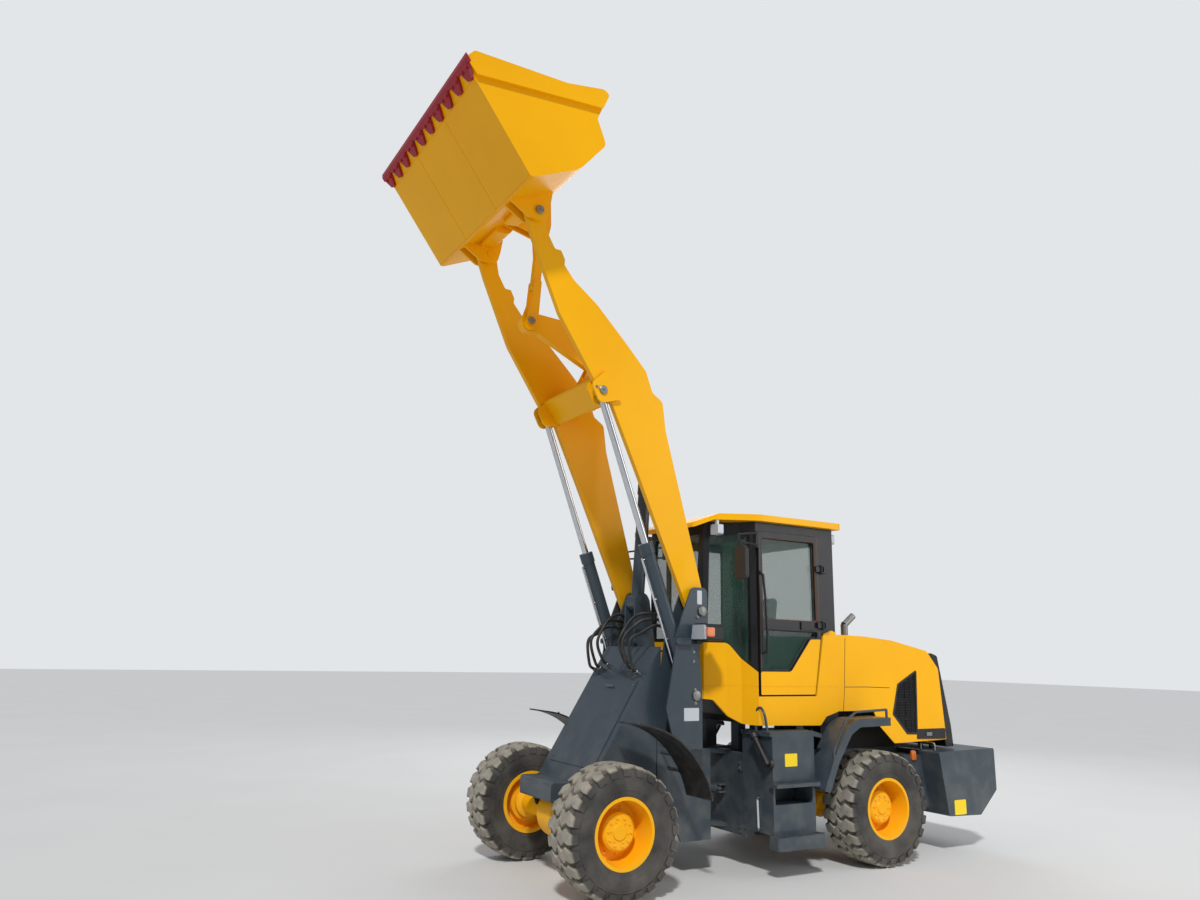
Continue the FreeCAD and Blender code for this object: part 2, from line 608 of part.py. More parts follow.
def hood_rear_trim():
    """Rear surround with a barred radiator grille."""
    outline = [(-2300, 1790, 20), (-2400, 1760, 30), (-2540, 1110, 60), (-2560, 915, 10), (-2460, 915, 10),
               (-2441, 985, 5), (-2381, 1642, 40), (-2290, 1740, 20)]
    shape = side_plate(outline, -HOOD_Y + 20, HOOD_Y - 20)
    hole = front_plate([(-430, 1100, 20), (430, 1100, 20), (430, 1580, 20), (-430, 1580, 20)], -2600, -2200)
    shape = shape.cut(hole)
    bars = []
    for k in range(7):
        z = 1140 + 64 * k
        x = -2500 + 0.19 * (z - 1110)
        bars.append(box(x, x + 10, -430, 430, z, z + 22))
    shape = shape.multiFuse(bars).removeSplitter()
    room = [box(HOOD_PIN[0] - 40, HOOD_PIN[0] + 45, y, y + 24, 900, 970) for y in (245.0, 377.0)]
    for cut in room:
        for piece in both(cut):
            shape = shape.cut(piece)
    knuckles = both(cross_pin(HOOD_PIN, 269, 377, 19))
    shape = shape.multiFuse(knuckles)
    return shape.cut(cross_pin(HOOD_PIN, -700, 700, 10 + PIN_FIT))


def exhaust():
    """Stack with a swept-back tip, standing on a collar on the hood."""
    top = 1905.0
    collar = Part.makeCylinder(62, 14, V(-1640, 180, top))
    pipe = Part.makeCylinder(34, 130, V(-1640, 180, top + 10))
    elbow = rod((-1640, 180, top + 135), (-1760, 180, top + 225), 34)
    return join([collar, pipe, elbow]).cut(side_plate(hood_outline(-FIT), -HOOD_Y, HOOD_Y))


# Front frame

TOWER_IN, TOWER_OUT = ARM_Y - 80, ARM_Y + 62
# Inner tower plates: x, z, corner radius
TOWER_LINE = [(330, 1990, 20), (335, 2275, 50), (492, 2275, 50), (663, 1850, 30), (735, 1300, 40),
              (735, 700, 60), (500, 262, 20), (205, 262, 10), (205, 960, 20), (330, 985, 30),
              (410, 1120, 30), (410, 1880, 60)]


# Outer tower plates: x, z, corner radius
TOWER_SKIN = [(332, 1990, 20), (335, 2275, 50), (492, 2275, 50), (663, 1850, 20), (655, 1760, 20),
              (745, 1293, 20), (690, 1105, 20), (520, 985, 20), (390, 985, 20), (390, 1420, 40),
              (420, 1760, 40)]
STAY_R = 14.0


def front_chassis():
    """Welded front frame: hinge box and the inner plate of each tower."""
    arm_in = TOWER_IN
    pieces = both(side_plate(TOWER_LINE, arm_in, arm_in + PLATE))
    # Hinge box between the inner plates
    wall = box(205, 223, -arm_in, arm_in, 262, 960)
    for slot in both(box(200, 230, 80, 240, STEER_Z - 60, STEER_Z + 60)):
        wall = wall.cut(slot)
    pieces.append(wall)
    for z in (STEER_Z - 38, STEER_Z + 24):
        ear = [(308, arm_in, 0), (308, 105, 20), (370, 105, 20), (385, arm_in, 0)]
        pieces += both(top_plate(ear, z, z + 14))
    for z in (PIVOT_LOW_Z + 2 * PLATE + GAP, PIVOT_HIGH_Z - 4 * PLATE - GAP):
        tongue = [(223, -250, 0), (60, -90, 60), (-70, -70, 60), (-70, 70, 60), (60, 90, 60), (223, 250, 0)]
        pieces.append(top_plate(tongue, z, z + 2 * PLATE))
    reach = 2 * PLATE + GAP
    for z in (PIVOT_LOW_Z - 10, PIVOT_HIGH_Z - reach - 30):
        pieces.append(Part.makeCylinder(PIVOT_PIN_R, reach + 40, V(0, 0, z)))
    # Deck and ears for the tilt cylinder's foot
    deck = box(470, 694, -arm_in, arm_in, 1740, 1758)
    ear_line = [(520, 1745, 0), (694, 1745, 0), (694, 1796, 0), (738, 1830, 20), (735, 2180, 60),
                (700, 2240, 60), (620, 2240, 60), (585, 2180, 60)]
    pieces.append(deck)
    for y in (66.0, -66.0 - PLATE):
        pieces.append(side_plate(ear_line, y, y + PLATE))
    shape = join(pieces)
    tilt_pin = cross_pin(TILT_BASE, -66 - PLATE - 8, 66 + PLATE + 8, BIG_PIN_R)
    for place in (BOOM_PIN, LIFT_BASE):
        shape = shape.cut(cross_pin(place, -TOWER_OUT, TOWER_OUT, BIG_PIN_R + PIN_FIT))
    return shape.fuse(tilt_pin)


def tower_plates():
    """Outer tower plates, each with the rounded ledge under its headlamp."""
    ledge = [(522, 1806, 20), (522, 1858, 20), (668, 1858, 20), (668, 1806, 20)]
    face = TOWER_OUT + PLATE
    plate = join([side_plate(TOWER_SKIN, TOWER_OUT, face), side_plate(ledge, face - 2, face + 36)])
    for place in (BOOM_PIN, LIFT_BASE):
        plate = plate.cut(cross_pin(place, TOWER_OUT - 1, face + 40, BIG_PIN_R + PIN_FIT))
    return Part.makeCompound(both(plate))


def tower_pins():
    """What joins each tower's two plates: cylinder and boom pins, floor, and the mudguard's stays."""
    inner = TOWER_IN + PLATE + FIT
    pieces = both(box(400, 640, inner, TOWER_OUT - FIT, 985, 1005))
    for place in (BOOM_PIN, LIFT_BASE):
        pieces += both(cross_pin(place, TOWER_IN - 10, TOWER_OUT + PLATE + 10, BIG_PIN_R))
    for place in FENDER_STAYS:
        pieces += both(cross_pin(place, inner, 600 - FIT, STAY_R))
    return Part.makeCompound(pieces)


def front_nose():
    """Nose of the front frame: parallel sides, a sloped cover with a hatch, and the narrow axle box."""
    slope = math.dist(NOSE_TOP, NOSE_FOOT)
    cover_top = between(NOSE_TOP, NOSE_FOOT, 0, NOSE_WALL)
    cover_foot = between(NOSE_TOP, NOSE_FOOT, slope - 8, NOSE_WALL)
    nose = [NOSE_TOP + (0,), NOSE_FOOT + (10,), (1585, 745, 20), (1600, 725, 20), (1600, 600, 20),
            (1480, 600, 20), (1440, 500, 20), (1220, 500, 20), (1130, 640, 40), (760, 640, 20),
            (700, 800, 0)]
    room = [(600, 1770, 0), cover_top + (0,), cover_foot + (0,), (1588, 733, 0), (1588, 400, 0),
            (600, 400, 0)]
    # Plan of one side: along, across
    edge = [(600, NOSE_Y), (1340, NOSE_Y), (1440, NOSE_TIP_Y + 60), (1800, NOSE_TIP_Y)]

    def footprint(inset):
        plan = [(x, y - inset, 0) for x, y in edge] + [(x, inset - y, 0) for x, y in reversed(edge)]
        return top_plate(plan, 300, 1900)
    shape = side_plate(nose, -500, 500).common(footprint(0))
    shape = shape.cut(side_plate(room, -500, 500).common(footprint(PLATE)))
    shape = shape.cut(cross_pin((AXLE_X, TYRE_R), -600, 600, AXLE_R + FIT))
    hatch = [between(NOSE_TOP, NOSE_FOOT, a, f) + (0,) for a, f in ((330, 4), (330, -7), (slope - 120, -7),
                                                                    (slope - 120, 4))]
    shape = shape.fuse(side_plate(hatch, -NOSE_Y + 70, NOSE_Y - 70))
    face = Part.Face(side_face(TOWER_LINE, -600).OuterWire.makeOffset2D(FIT, 2))
    return shape.cut(face.extrude(V(0, 1200, 0)))


def front_fenders():
    """Curved rubber mudguards behind the front wheels."""
    sheet = 12.0
    curve = [V(1211, 600, 1218), V(851, 600, 1088), V(557, 600, 651)]
    middle = Part.Arc(*curve).toShape().Curve
    inner = [p + (middle.Center - p).normalize() * sheet for p in curve]
    wire = Part.Wire([Part.Arc(*curve).toShape(), Part.makeLine(curve[2], inner[2]),
                      Part.Arc(inner[2], inner[1], inner[0]).toShape(), Part.makeLine(inner[0], curve[0])])
    guard = Part.Face(wire).extrude(V(0, 338, 0))
    lugs = [cross_pin((x + 4, z - 4), 600, 640, 16) for x, z in FENDER_STAYS]
    return Part.makeCompound(both(join([guard] + lugs)))


# Headlamp front outline: across, up, corner radius
LAMP_FACE = [(592, 1842, 15), (612, 1972, 20), (772, 1972, 20), (790, 1942, 15), (790, 1842, 15)]
LAMP_X = (330.0, 515.0)


def headlamps():
    """Lamp housings on the towers' ledges."""
    body = front_plate(LAMP_FACE, LAMP_X[0], LAMP_X[1] - 26)
    foot = box(430, 560, TOWER_OUT + PLATE + 36 + FIT, 640, 1812, 1850)
    arm = box(440, 500, TOWER_OUT + PLATE + FIT, 600, 1880, 1930)
    return Part.makeCompound(both(join([body, foot.common(box(430, 489, 500, 700, 1800, 1900)), arm])))


def headlamp_lenses():
    """Fluted lens in front of each housing."""
    face = Part.Face(Part.Wire(corner_edges(LAMP_FACE, lambda p: V(LAMP_X[1] - 26 + FIT, p.x, p.y))))
    wire = face.OuterWire.makeOffset2D(-7, 2)
    return Part.makeCompound(both(Part.Face(wire).extrude(V(26, 0, 0))))


def mirrors():
    """Rear-view mirrors on double brackets from the door posts."""
    # Head outline in front view: across, up, corner radius
    head = [(905, 2330, 30), (905, 2600, 40), (1045, 2600, 40), (1045, 2330, 30)]
    body = front_plate(head, 262, 300)
    upper = [(-105, 712, 2765), (281, 935, 2700), (281, 940, 2590)]
    lower = [(-105, 712, 2660), (281, 965, 2640), (281, 965, 2590)]
    bars = []
    for line in (upper, lower):
        bars.append(tube(line, 9))
    plate = box(-122, -92, CAB_Y + FIT, 716, 2640, 2785)
    return Part.makeCompound(both(join([body, plate] + bars)))


def work_lamps():
    """Work lamps under the roof's front and rear corners."""
    lamps = []
    # Lamp middles: along, across, up
    for x, y, z in ((205, 555, 2785), (-1052, 600, 2790)):
        head = front_plate([(y - 52, z - 45, 15), (y - 52, z + 45, 15), (y + 52, z + 45, 15),
                            (y + 52, z - 45, 15)],
                           x - 30, x + 30)
        lamps += both(head.fuse(box(x - 12, x + 12, y - 14, y + 14, z + 40, ROOF_Z)))
    return Part.makeCompound(lamps)


def hoses():
    """Hydraulic hoses looping from the sloped cover to the towers, with their end fittings."""
    pieces = []
    # Hose: across at the cover, reach along the slope, forward reach of the loop, height at the tower
    table = [(180, 212, 950, 2060), (262, 250, 968, 2010), (345, 268, 950, 1955)]
    for foot_y, along, ahead, high in table:
        foot = between(NOSE_TOP, NOSE_FOOT, along, -FIT)
        out = between(NOSE_TOP, NOSE_FOOT, along, -60)
        end_x = 560 + (2060 - high) * 0.3
        line = [(out[0], foot_y, out[1]), (out[0] + 45, foot_y, out[1] + 45), (ahead, foot_y, 1825),
                (ahead - 105, foot_y + 10, high - 60), (ahead - 220, foot_y + 30, high),
                (end_x + 10, 370, high - 10),
                (end_x, TOWER_IN - 40, high - 12)]
        collar = rod((foot[0], foot_y, foot[1]), (out[0], foot_y, out[1]), HOSE_R + 6)
        end = rod((end_x, TOWER_IN - 45, high - 12), (end_x, TOWER_IN - FIT, high - 12), HOSE_R + 6)
        pieces.append(join([tube(line, HOSE_R), collar, end]))
    return Part.makeCompound([side for piece in pieces for side in both(piece)])


def hose_pipes():
    """Oil pipe up the front of each lift cylinder."""
    line = [between(LIFT_BASE, LIFT_EYE, a, LIFT_BARREL_R + 20) for a in (190, 1180)]
    pieces = [rod((line[0][0], ARM_Y, line[0][1]), (line[1][0], ARM_Y, line[1][1]), 9)]
    for a in (190, 1180):
        low = between(LIFT_BASE, LIFT_EYE, a, LIFT_BARREL_R - 5)
        high = between(LIFT_BASE, LIFT_EYE, a, LIFT_BARREL_R + 22)
        pieces.append(rod((low[0], ARM_Y, low[1]), (high[0], ARM_Y, high[1]), 14))
    for a in (500, 840):
        low = between(LIFT_BASE, LIFT_EYE, a, LIFT_BARREL_R - 5)
        high = between(LIFT_BASE, LIFT_EYE, a, LIFT_BARREL_R + 20)
        pieces.append(rod((low[0], ARM_Y, low[1]), (high[0], ARM_Y, high[1]), 12))
    base, eye = (LIFT_BASE[0], ARM_Y, LIFT_BASE[1]), (LIFT_EYE[0], ARM_Y, LIFT_EYE[1])
    return Part.makeCompound(both(join(pieces).cut(rod(base, eye, LIFT_BARREL_R + FIT))))


# Boom and linkage

def lift_arms():
    """Two cranked plates joined by a box cross member that carries the bell crank."""
    # Outline: along the pin line, forward of it, corner radius
    table = [(0, 92, 60), (1250, 40, 300), (1900, 20, 60), (2120, 95, 80), (2740, 168, 300),
             (2980, 155, 200),
             (3400, 132, 60), (3690, 100, 90), (3690, -100, 90), (3400, -20, 60), (3260, -28, 30),
             (3235, -80, 20),
             (3150, -80, 20), (3110, -55, 30), (2965, -88, 200), (2710, -215, 300), (2320, -346, 300),
             (2040, -430, 40), (1850, -410, 40), (1740, -472, 60), (1500, -388, 200), (0, -92, 60),
             (-92, -70, 60),
             (-92, 70, 60)]
    outline = [between(BOOM_PIN, TIP_PIN, a, f) + (r,) for a, f, r in table]
    half = ARM_T / 2
    plate = side_plate(outline, ARM_Y - half, ARM_Y + half)
    boss = cross_pin(BOOM_PIN, ARM_Y - half, ARM_Y + half + 20, ARM_BOSS_R)
    tip = cross_pin(TIP_PIN, ARM_Y - half - 15, ARM_Y + half + 15, 85)
    arm = join([plate, boss, tip])
    # Ears either side of the lift cylinder's eye
    ears = []
    low, high = between(BOOM_PIN, TIP_PIN, 1890, -60), between(BOOM_PIN, TIP_PIN, 2170, -60)
    root_low, root_high = between(BOOM_PIN, TIP_PIN, 1930, 150), between(BOOM_PIN, TIP_PIN, 2110, 150)
    ear_line = [low + (20,), root_low + (60,), root_high + (60,), high + (20,)]
    for y in (ARM_Y - EYE_W / 2 - GAP - PLATE, ARM_Y + EYE_W / 2 + GAP):
        ears.append(side_plate(ear_line, y, y + PLATE))
    web = [between(BOOM_PIN, TIP_PIN, a, f) + (15,) for a, f in
           ((1895, -60), (1895, -8), (2165, -8), (2165, -60))]
    reach = EYE_W / 2 + GAP + PLATE
    arm = join([arm, side_plate(web, ARM_Y - reach, ARM_Y + reach)] + ears)
    for place in (BOOM_PIN, TIP_PIN):
        arm = arm.cut(cross_pin(place, ARM_Y - 200, ARM_Y + 200, BIG_PIN_R + PIN_FIT))
    # Cross member between the arms: along, forward
    cross = [between(BOOM_PIN, TIP_PIN, a, f) + (30,) for a, f in
             ((1900, 15), (2160, 60), (2160, -260), (1900, -260))]
    inner = ARM_Y - half + 1
    beam = side_plate(cross, -inner, inner)
    # Brackets that hold the bell crank's pin
    brackets = []
    foot_a, foot_b = between(BOOM_PIN, TIP_PIN, 1910, -250), between(BOOM_PIN, TIP_PIN, 2150, -60)
    line = [foot_a + (10,), foot_b + (10,), (BELL_PIN[0] + 90, BELL_PIN[1] + 20, 60),
            (BELL_PIN[0] - 40, BELL_PIN[1] + 100, 60), (BELL_PIN[0] - 110, BELL_PIN[1] - 20, 60)]
    for y in (BELL_T / 2 + GAP, -BELL_T / 2 - GAP - PLATE):
        brackets.append(side_plate(line, y, y + PLATE))
    pin = cross_pin(BELL_PIN, -BELL_T / 2 - GAP - PLATE - 8, BELL_T / 2 + GAP + PLATE + 8, BIG_PIN_R)
    shape = join(both(arm) + [beam] + brackets + [pin])
    for room in both(cross_pin(LIFT_EYE, ARM_Y - EYE_W / 2 - GAP, ARM_Y + EYE_W / 2 + GAP, 62)):
        shape = shape.cut(room)
    return shape


def bellcrank():
    """Cranked lever: one end to the bucket link, the other a fork round the tilt rod's eye."""
    outline = [(LINK_LOW[0] + 80, LINK_LOW[1] + 60, 70), (LINK_LOW[0] + 80, LINK_LOW[1] - 80, 70),
               (LINK_LOW[0] - 90, LINK_LOW[1] - 90, 60), (BELL_PIN[0] + 150, BELL_PIN[1] - 170, 120),
               (TILT_EYE[0] + 60, TILT_EYE[1] - 90, 60), (TILT_EYE[0] - 90, TILT_EYE[1] - 90, 60),
               (TILT_EYE[0] - 100, TILT_EYE[1] + 50, 60), (BELL_PIN[0] - 60, BELL_PIN[1] + 150, 120),
               (BELL_PIN[0] + 400, BELL_PIN[1] + 240, 200), (LINK_LOW[0] - 40, LINK_LOW[1] + 90, 60)]
    half = BELL_T / 2
    shape = side_plate(outline, -half, half)
    # Fork round the tilt rod's eye
    cheek = [between(TILT_EYE, BELL_PIN, a, f) + (r,) for a, f, r in
             ((-85, 80, 79), (-85, -80, 79), (430, -120, 60), (430, 120, 60))]
    cheeks = both(side_plate(cheek, half - 4, half + 24))
    shape = join([shape] + cheeks)
    room = [between(TILT_EYE, BELL_PIN, a, f) + (r,) for a, f, r in
            ((-200, 220, 0), (-200, -220, 0), (230, -220, 60), (230, 220, 60))]
    shape = shape.cut(side_plate(room, -EYE_W / 2 - GAP, EYE_W / 2 + GAP))
    return shape.cut(cross_pin(BELL_PIN, -half - 30, half + 30, BIG_PIN_R + PIN_FIT))


def bucket_link():
    """Flat bar pinned to the bucket above, forked round the bell crank's nose below."""
    half = EYE_W / 2
    inside, outside = BELL_T / 2 + GAP, BELL_T / 2 + GAP + PLATE
    bar = [between(LINK_LOW, LINK_HIGH, a, f) + (r,) for a, f, r in
           ((320, -62, 20), (740, -62, 80), (965, -66, 65), (965, 66, 65), (840, 50, 60), (620, 12, 60),
            (320, 12, 20))]
    cheek = [between(LINK_LOW, LINK_HIGH, a, f) + (r,) for a, f, r in
             ((-80, 70, 69), (-80, -70, 69), (400, -60, 20), (400, 12, 20), (180, 12, 60))]
    block = [between(LINK_LOW, LINK_HIGH, a, f) + (5,) for a, f in
             ((322, 8), (322, -55), (398, -55), (398, 8))]
    shape = join([side_plate(bar, -half, half), side_plate(block, -outside, outside)]
                 + both(side_plate(cheek, inside, outside))
                 + both(cross_pin(LINK_LOW, outside - 2, outside + 12, 40)))
    return shape.cut(cross_pin(LINK_HIGH, -half - 1, half + 1, BIG_PIN_R + PIN_FIT))


# Bucket

def bucket_shell():
    """Wrapper plate, side plates with heavy edge strips, and the hinge ears on the back."""
    half = BUCKET_W / 2
    front = between(FLOOR_HEEL, FLOOR_TIP, 1003)
    side = [front + (5,), (2831, 6182, 30), (2026, 6199, 200), (1690, 6265, 40), (1632, 6235, 30),
            (1724, 6001, 30), (1637, 5786, 60), (1878, 5493, 300), FLOOR_HEEL + (40,)]
    lip = between(FLOOR_HEEL, FLOOR_TIP, 1100, -BUCKET_PLATE)
    heel = between(FLOOR_HEEL, FLOOR_TIP, 5, -BUCKET_PLATE)
    inside = [lip + (0,), (2980, 6400, 0), (1620, 6400, 0), (1655, 6262, 0), (1742, 6001, 30),
              (1656, 5790, 60), (1890, 5508, 300), heel + (30,)]
    solid = side_plate(side, -half, half)
    room = side_plate(inside, -half + BUCKET_PLATE, half - BUCKET_PLATE)
    shell = solid.cut(room)
    strip = [front + (5,), (2831, 6182, 30), (2026, 6199, 200), (1690, 6265, 40), (1632, 6235, 30),
             (1690, 6090, 20), (2800, 5990, 20)]
    strips = both(side_plate(strip, half, half + 34))
    # Hinge ears: a pair round each arm's tip and a pair round the link
    ears = []
    arm_gap = ARM_T / 2 + 15 + GAP
    arm_ear = [(2299, 5312, 10), (2120, 5200, 50), (1960, 5190, 80), (1925, 5330, 60), (1900, 5500, 10),
               (2000, 5470, 10)]
    for y in (ARM_Y - arm_gap - PLATE, ARM_Y + arm_gap):
        ears += both(side_plate(arm_ear, y, y + PLATE))
    link_gap = 30.0 + GAP
    link_ear = [(2100, 5400, 10), (1800, 5330, 40), (1680, 5330, 60), (1655, 5460, 60), (1670, 5770, 10),
                (1900, 5500, 10)]
    for y in (link_gap, -link_gap - PLATE):
        ears.append(side_plate(link_ear, y, y + PLATE))
    # Box rib along the back, between the arms' and the link's ears
    rib_line = [(2130, 5330, 20), (2000, 5345, 30), (1950, 5415, 30), (1985, 5465, 10), (2130, 5390, 10)]
    ribs = both(side_plate(rib_line, 84, ARM_Y - arm_gap - 2))
    shell = join([shell] + strips + ears + ribs)
    pins = both(cross_pin(TIP_PIN, ARM_Y - arm_gap - PLATE - 8, ARM_Y + arm_gap + PLATE + 8, BIG_PIN_R))
    pins.append(cross_pin(LINK_HIGH, -link_gap - PLATE - 8, link_gap + PLATE + 8, BIG_PIN_R))
    return shell.multiFuse(pins)


def cutting_edge():
    """Bevelled edge plate with pointed pads welded under it."""
    half = EDGE_W / 2
    heel, tip = FLOOR_HEEL, FLOOR_TIP
    length = math.dist(heel, tip)
    line = [between(heel, tip, a, f) + (0,) for a, f in
            ((length - 70, FIT), (length - 18, FIT), (length, 4), (length - 30, EDGE_T),
             (length - 70, EDGE_T))]
    plate = side_plate(line, -half, half)
    pads = []
    count = 10
    pitch = EDGE_W / count
    # Pad plan: along the floor, across
    plan = [(length - 55, -78), (length - 55, 78), (length - 110, 60), (length - 165, 30), (length - 172, 0),
            (length - 165, -30), (length - 110, -60)]
    for k in range(count):
        mid = -half + pitch * (k + 0.5)
        corners = []
        for a, c in plan:
            x, z = between(heel, tip, a, FIT)
            corners.append((x, mid + c, z))
        face = Part.Face(Part.makePolygon([V(*p) for p in corners + corners[:1]]))
        down = between((0, 0), (tip[0] - heel[0], tip[1] - heel[1]), 0, EDGE_T + 4)
        pads.append(face.extrude(V(down[0], 0, down[1])))
    return plate.multiFuse(pads)


# Cylinders

def barrel(base, eye, length, radius, y, base_r, base_w):
    """Cylinder tube with its base eye and gland."""
    ax, az = between(base, eye, 50.0)
    bx, bz = between(base, eye, length)
    gx, gz = between(base, eye, length - 90)
    body = rod((ax, y, az), (bx, y, bz), radius)
    gland = rod((gx, y, gz), (bx, y, bz), radius + 8)
    eye_ring = cross_pin(base, y - base_w / 2, y + base_w / 2, base_r)
    return join([body, gland, eye_ring])


def piston_rod(base, eye, start, radius, y, eye_r):
    """Chromed rod with its eye."""
    ax, az = between(base, eye, start)
    length = math.dist(base, eye)
    bx, bz = between(base, eye, length - eye_r + 12)
    bar = rod((ax, y, az), (bx, y, bz), radius)
    ring = cross_pin(eye, y - EYE_W / 2, y + EYE_W / 2, eye_r)
    return bar.fuse(ring)


def hollow(shape, base, eye, start, end, radius, y):
    """Bore a cylinder tube for its rod."""
    ax, az = between(base, eye, start)
    bx, bz = between(base, eye, end)
    return shape.cut(rod((ax, y, az), (bx, y, bz), radius))


def lift_barrels():
    shape = barrel(LIFT_BASE, LIFT_EYE, LIFT_BARREL_L, LIFT_BARREL_R, ARM_Y, 62, 2 * 50)
    shape = hollow(shape, LIFT_BASE, LIFT_EYE, 110, LIFT_BARREL_L + 1, LIFT_ROD_R + PIN_FIT, ARM_Y)
    shape = shape.cut(cross_pin(LIFT_BASE, ARM_Y - 100, ARM_Y + 100, BIG_PIN_R + PIN_FIT))
    return Part.makeCompound(both(shape))


def lift_rods():
    return Part.makeCompound(both(piston_rod(LIFT_BASE, LIFT_EYE, 1150, LIFT_ROD_R, ARM_Y, 52)))


def tilt_barrel():
    shape = barrel(TILT_BASE, TILT_EYE, TILT_BARREL_L, TILT_BARREL_R, 0, 76, 120)
    shape = hollow(shape, TILT_BASE, TILT_EYE, 130, TILT_BARREL_L + 1, TILT_ROD_R + PIN_FIT, 0)
    return shape.cut(cross_pin(TILT_BASE, -100, 100, BIG_PIN_R + PIN_FIT))


def tilt_rod():
    return piston_rod(TILT_BASE, TILT_EYE, 400, TILT_ROD_R, 0, 56)


def steer_parts(side):
    """One steering cylinder, flat between the frames beside the hinge."""
    base = V(STEER_BASE[0], STEER_BASE[1] * side, STEER_Z)
    eye = V(STEER_EYE[0], STEER_EYE[1] * side, STEER_Z)
    axis = (eye - base).normalize()
    ring = Part.makeCylinder(26, 28, base - V(0, 0, 14))
    neck = Part.makeCylinder(13, 60, base, axis)
    body = Part.makeCylinder(STEER_BARREL_R, 225, base + axis * 50, axis)
    shape = join([ring, neck, body])
    shape = shape.cut(Part.makeCylinder(STEER_ROD_R + PIN_FIT, 240, base + axis * 75, axis))
    shape = shape.cut(Part.makeCylinder(STEER_PIN_R + PIN_FIT, 80, base - V(0, 0, 40)))
    length = (eye - base).Length
    bar = Part.makeCylinder(STEER_ROD_R, length - 176 - 20, base + axis * 176, axis)
    head = Part.makeCylinder(30, 28, eye - V(0, 0, 14))
    return shape, bar.fuse(head)


def main():
    os.makedirs("parts", exist_ok=True)
    # Wheels: name, along, across
    corners = [("front_left", AXLE_X, WHEEL_Y), ("front_right", AXLE_X, -WHEEL_Y),
               ("rear_left", -AXLE_X, WHEEL_Y), ("rear_right", -AXLE_X, -WHEEL_Y)]
    for name, x, y in corners:
        save("tyre_" + name, tyre(x, y))
        save("rim_" + name, rim(x, y))
    save("front_axle", axle(AXLE_X))
    save("rear_axle", axle(-AXLE_X))
    for side, name in ((1, "left"), (-1, "right")):
        save("platform_" + name, platform(side))
        outer, bar = steer_parts(side)
        save("steer_barrel_" + name, outer)
        save("steer_rod_" + name, bar)
    save("rear_fenders", Part.makeCompound([rear_fender(1), rear_fender(-1)]))
    for make in (rear_chassis, counterweight, engine_block, cab_shell, cab_front, cab_glass, cab_panels,
                 cab_roof, seat, steering_column, mirrors, work_lamps, door_frame, door_skin, door_glass,
                 hood_shell, hood_grilles, hood_rear_trim, exhaust, front_chassis, tower_plates, tower_pins,
                 front_nose, front_fenders, headlamps, headlamp_lenses, hoses, lift_arms, bellcrank,
                 bucket_link, bucket_shell, cutting_edge, hose_pipes, lift_barrels, lift_rods, tilt_barrel,
                 tilt_rod):
        save(make.__name__, make())


main()
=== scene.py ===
"""Compact wheel loader with its boom raised: finishes, fine detail, light and camera.

Metres. +X forward, +Y to the machine's left, +Z up, origin on the ground at the steering pivot.
"""
import json
import math
import bpy
import bmesh
from mathutils import Matrix, Vector

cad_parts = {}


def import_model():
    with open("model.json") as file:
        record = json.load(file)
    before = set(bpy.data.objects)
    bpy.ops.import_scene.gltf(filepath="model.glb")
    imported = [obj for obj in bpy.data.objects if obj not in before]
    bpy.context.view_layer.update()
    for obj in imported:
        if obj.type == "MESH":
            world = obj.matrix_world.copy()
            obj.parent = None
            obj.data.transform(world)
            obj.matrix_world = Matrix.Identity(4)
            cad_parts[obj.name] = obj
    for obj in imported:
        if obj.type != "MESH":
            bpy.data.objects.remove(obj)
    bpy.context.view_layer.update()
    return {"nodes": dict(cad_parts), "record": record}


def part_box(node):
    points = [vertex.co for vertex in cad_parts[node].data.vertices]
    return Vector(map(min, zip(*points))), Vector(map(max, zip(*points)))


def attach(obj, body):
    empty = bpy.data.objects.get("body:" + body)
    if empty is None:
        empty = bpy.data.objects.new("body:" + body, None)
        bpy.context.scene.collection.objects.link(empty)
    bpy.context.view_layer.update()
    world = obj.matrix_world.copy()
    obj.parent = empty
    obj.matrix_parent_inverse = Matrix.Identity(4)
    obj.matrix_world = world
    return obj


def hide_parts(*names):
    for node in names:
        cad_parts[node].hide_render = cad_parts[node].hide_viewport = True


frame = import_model()

# Camera: lens for a 36 mm sensor, then place and angles in degrees
LENS = 26.79
CAMERA_AT = (4.947, 6.684, 1.732)
CAMERA_HEADING = 30.12
CAMERA_PITCH = 12.74
CAMERA_ROLL = 1.18

# Lights: sun strength and spread in degrees, fill power in watts and size, floor's half side
SUN_STRENGTH = 2.0
SUN_SPREAD = 5.0
FILL_POWER = 220.0
FILL_SIZE = 6.0
FLOOR_REACH = 60.0
FLOOR_LEVEL = -0.001
# The surround's strength as the camera sees it, and as it lights the machine
SURROUND_SEEN = 0.95
SURROUND_LIGHT = 0.42

# Paint and material colours, as seen on a screen, 0 to 255
YELLOW = (255, 182, 0)
TRIM = (116, 74, 44)
SLATE = (54, 66, 75)
SATIN_BLACK = (24, 24, 27)
RUBBER = (40, 39, 40)
DUST = (172, 165, 150)
RED = (160, 22, 40)
STEEL = (150, 150, 148)
CHROME = (205, 208, 212)
ENGINE_GREY = (70, 70, 68)
FABRIC = (40, 41, 44)
FLOOR = (222, 222, 220)
SURROUND = (232, 235, 238)
SKYLIGHT = (236, 240, 248)

# Axes of a drawing on the machine's side: along, up, outward
SIDE = ((1, 0, 0), (0, 0, 1), (0, 1, 0))

WHEELS = ("front_left", "front_right", "rear_left", "rear_right")

# The sloped cover's line at the top and the foot, down it and square to it
NOSE_TOP, NOSE_FOOT = Vector((0.700, 0, 1.785)), Vector((1.350, 0, 0.737))
NOSE_DOWN = (NOSE_FOOT - NOSE_TOP).normalized()
NOSE_OUT = Vector((-NOSE_DOWN.z, 0, NOSE_DOWN.x))

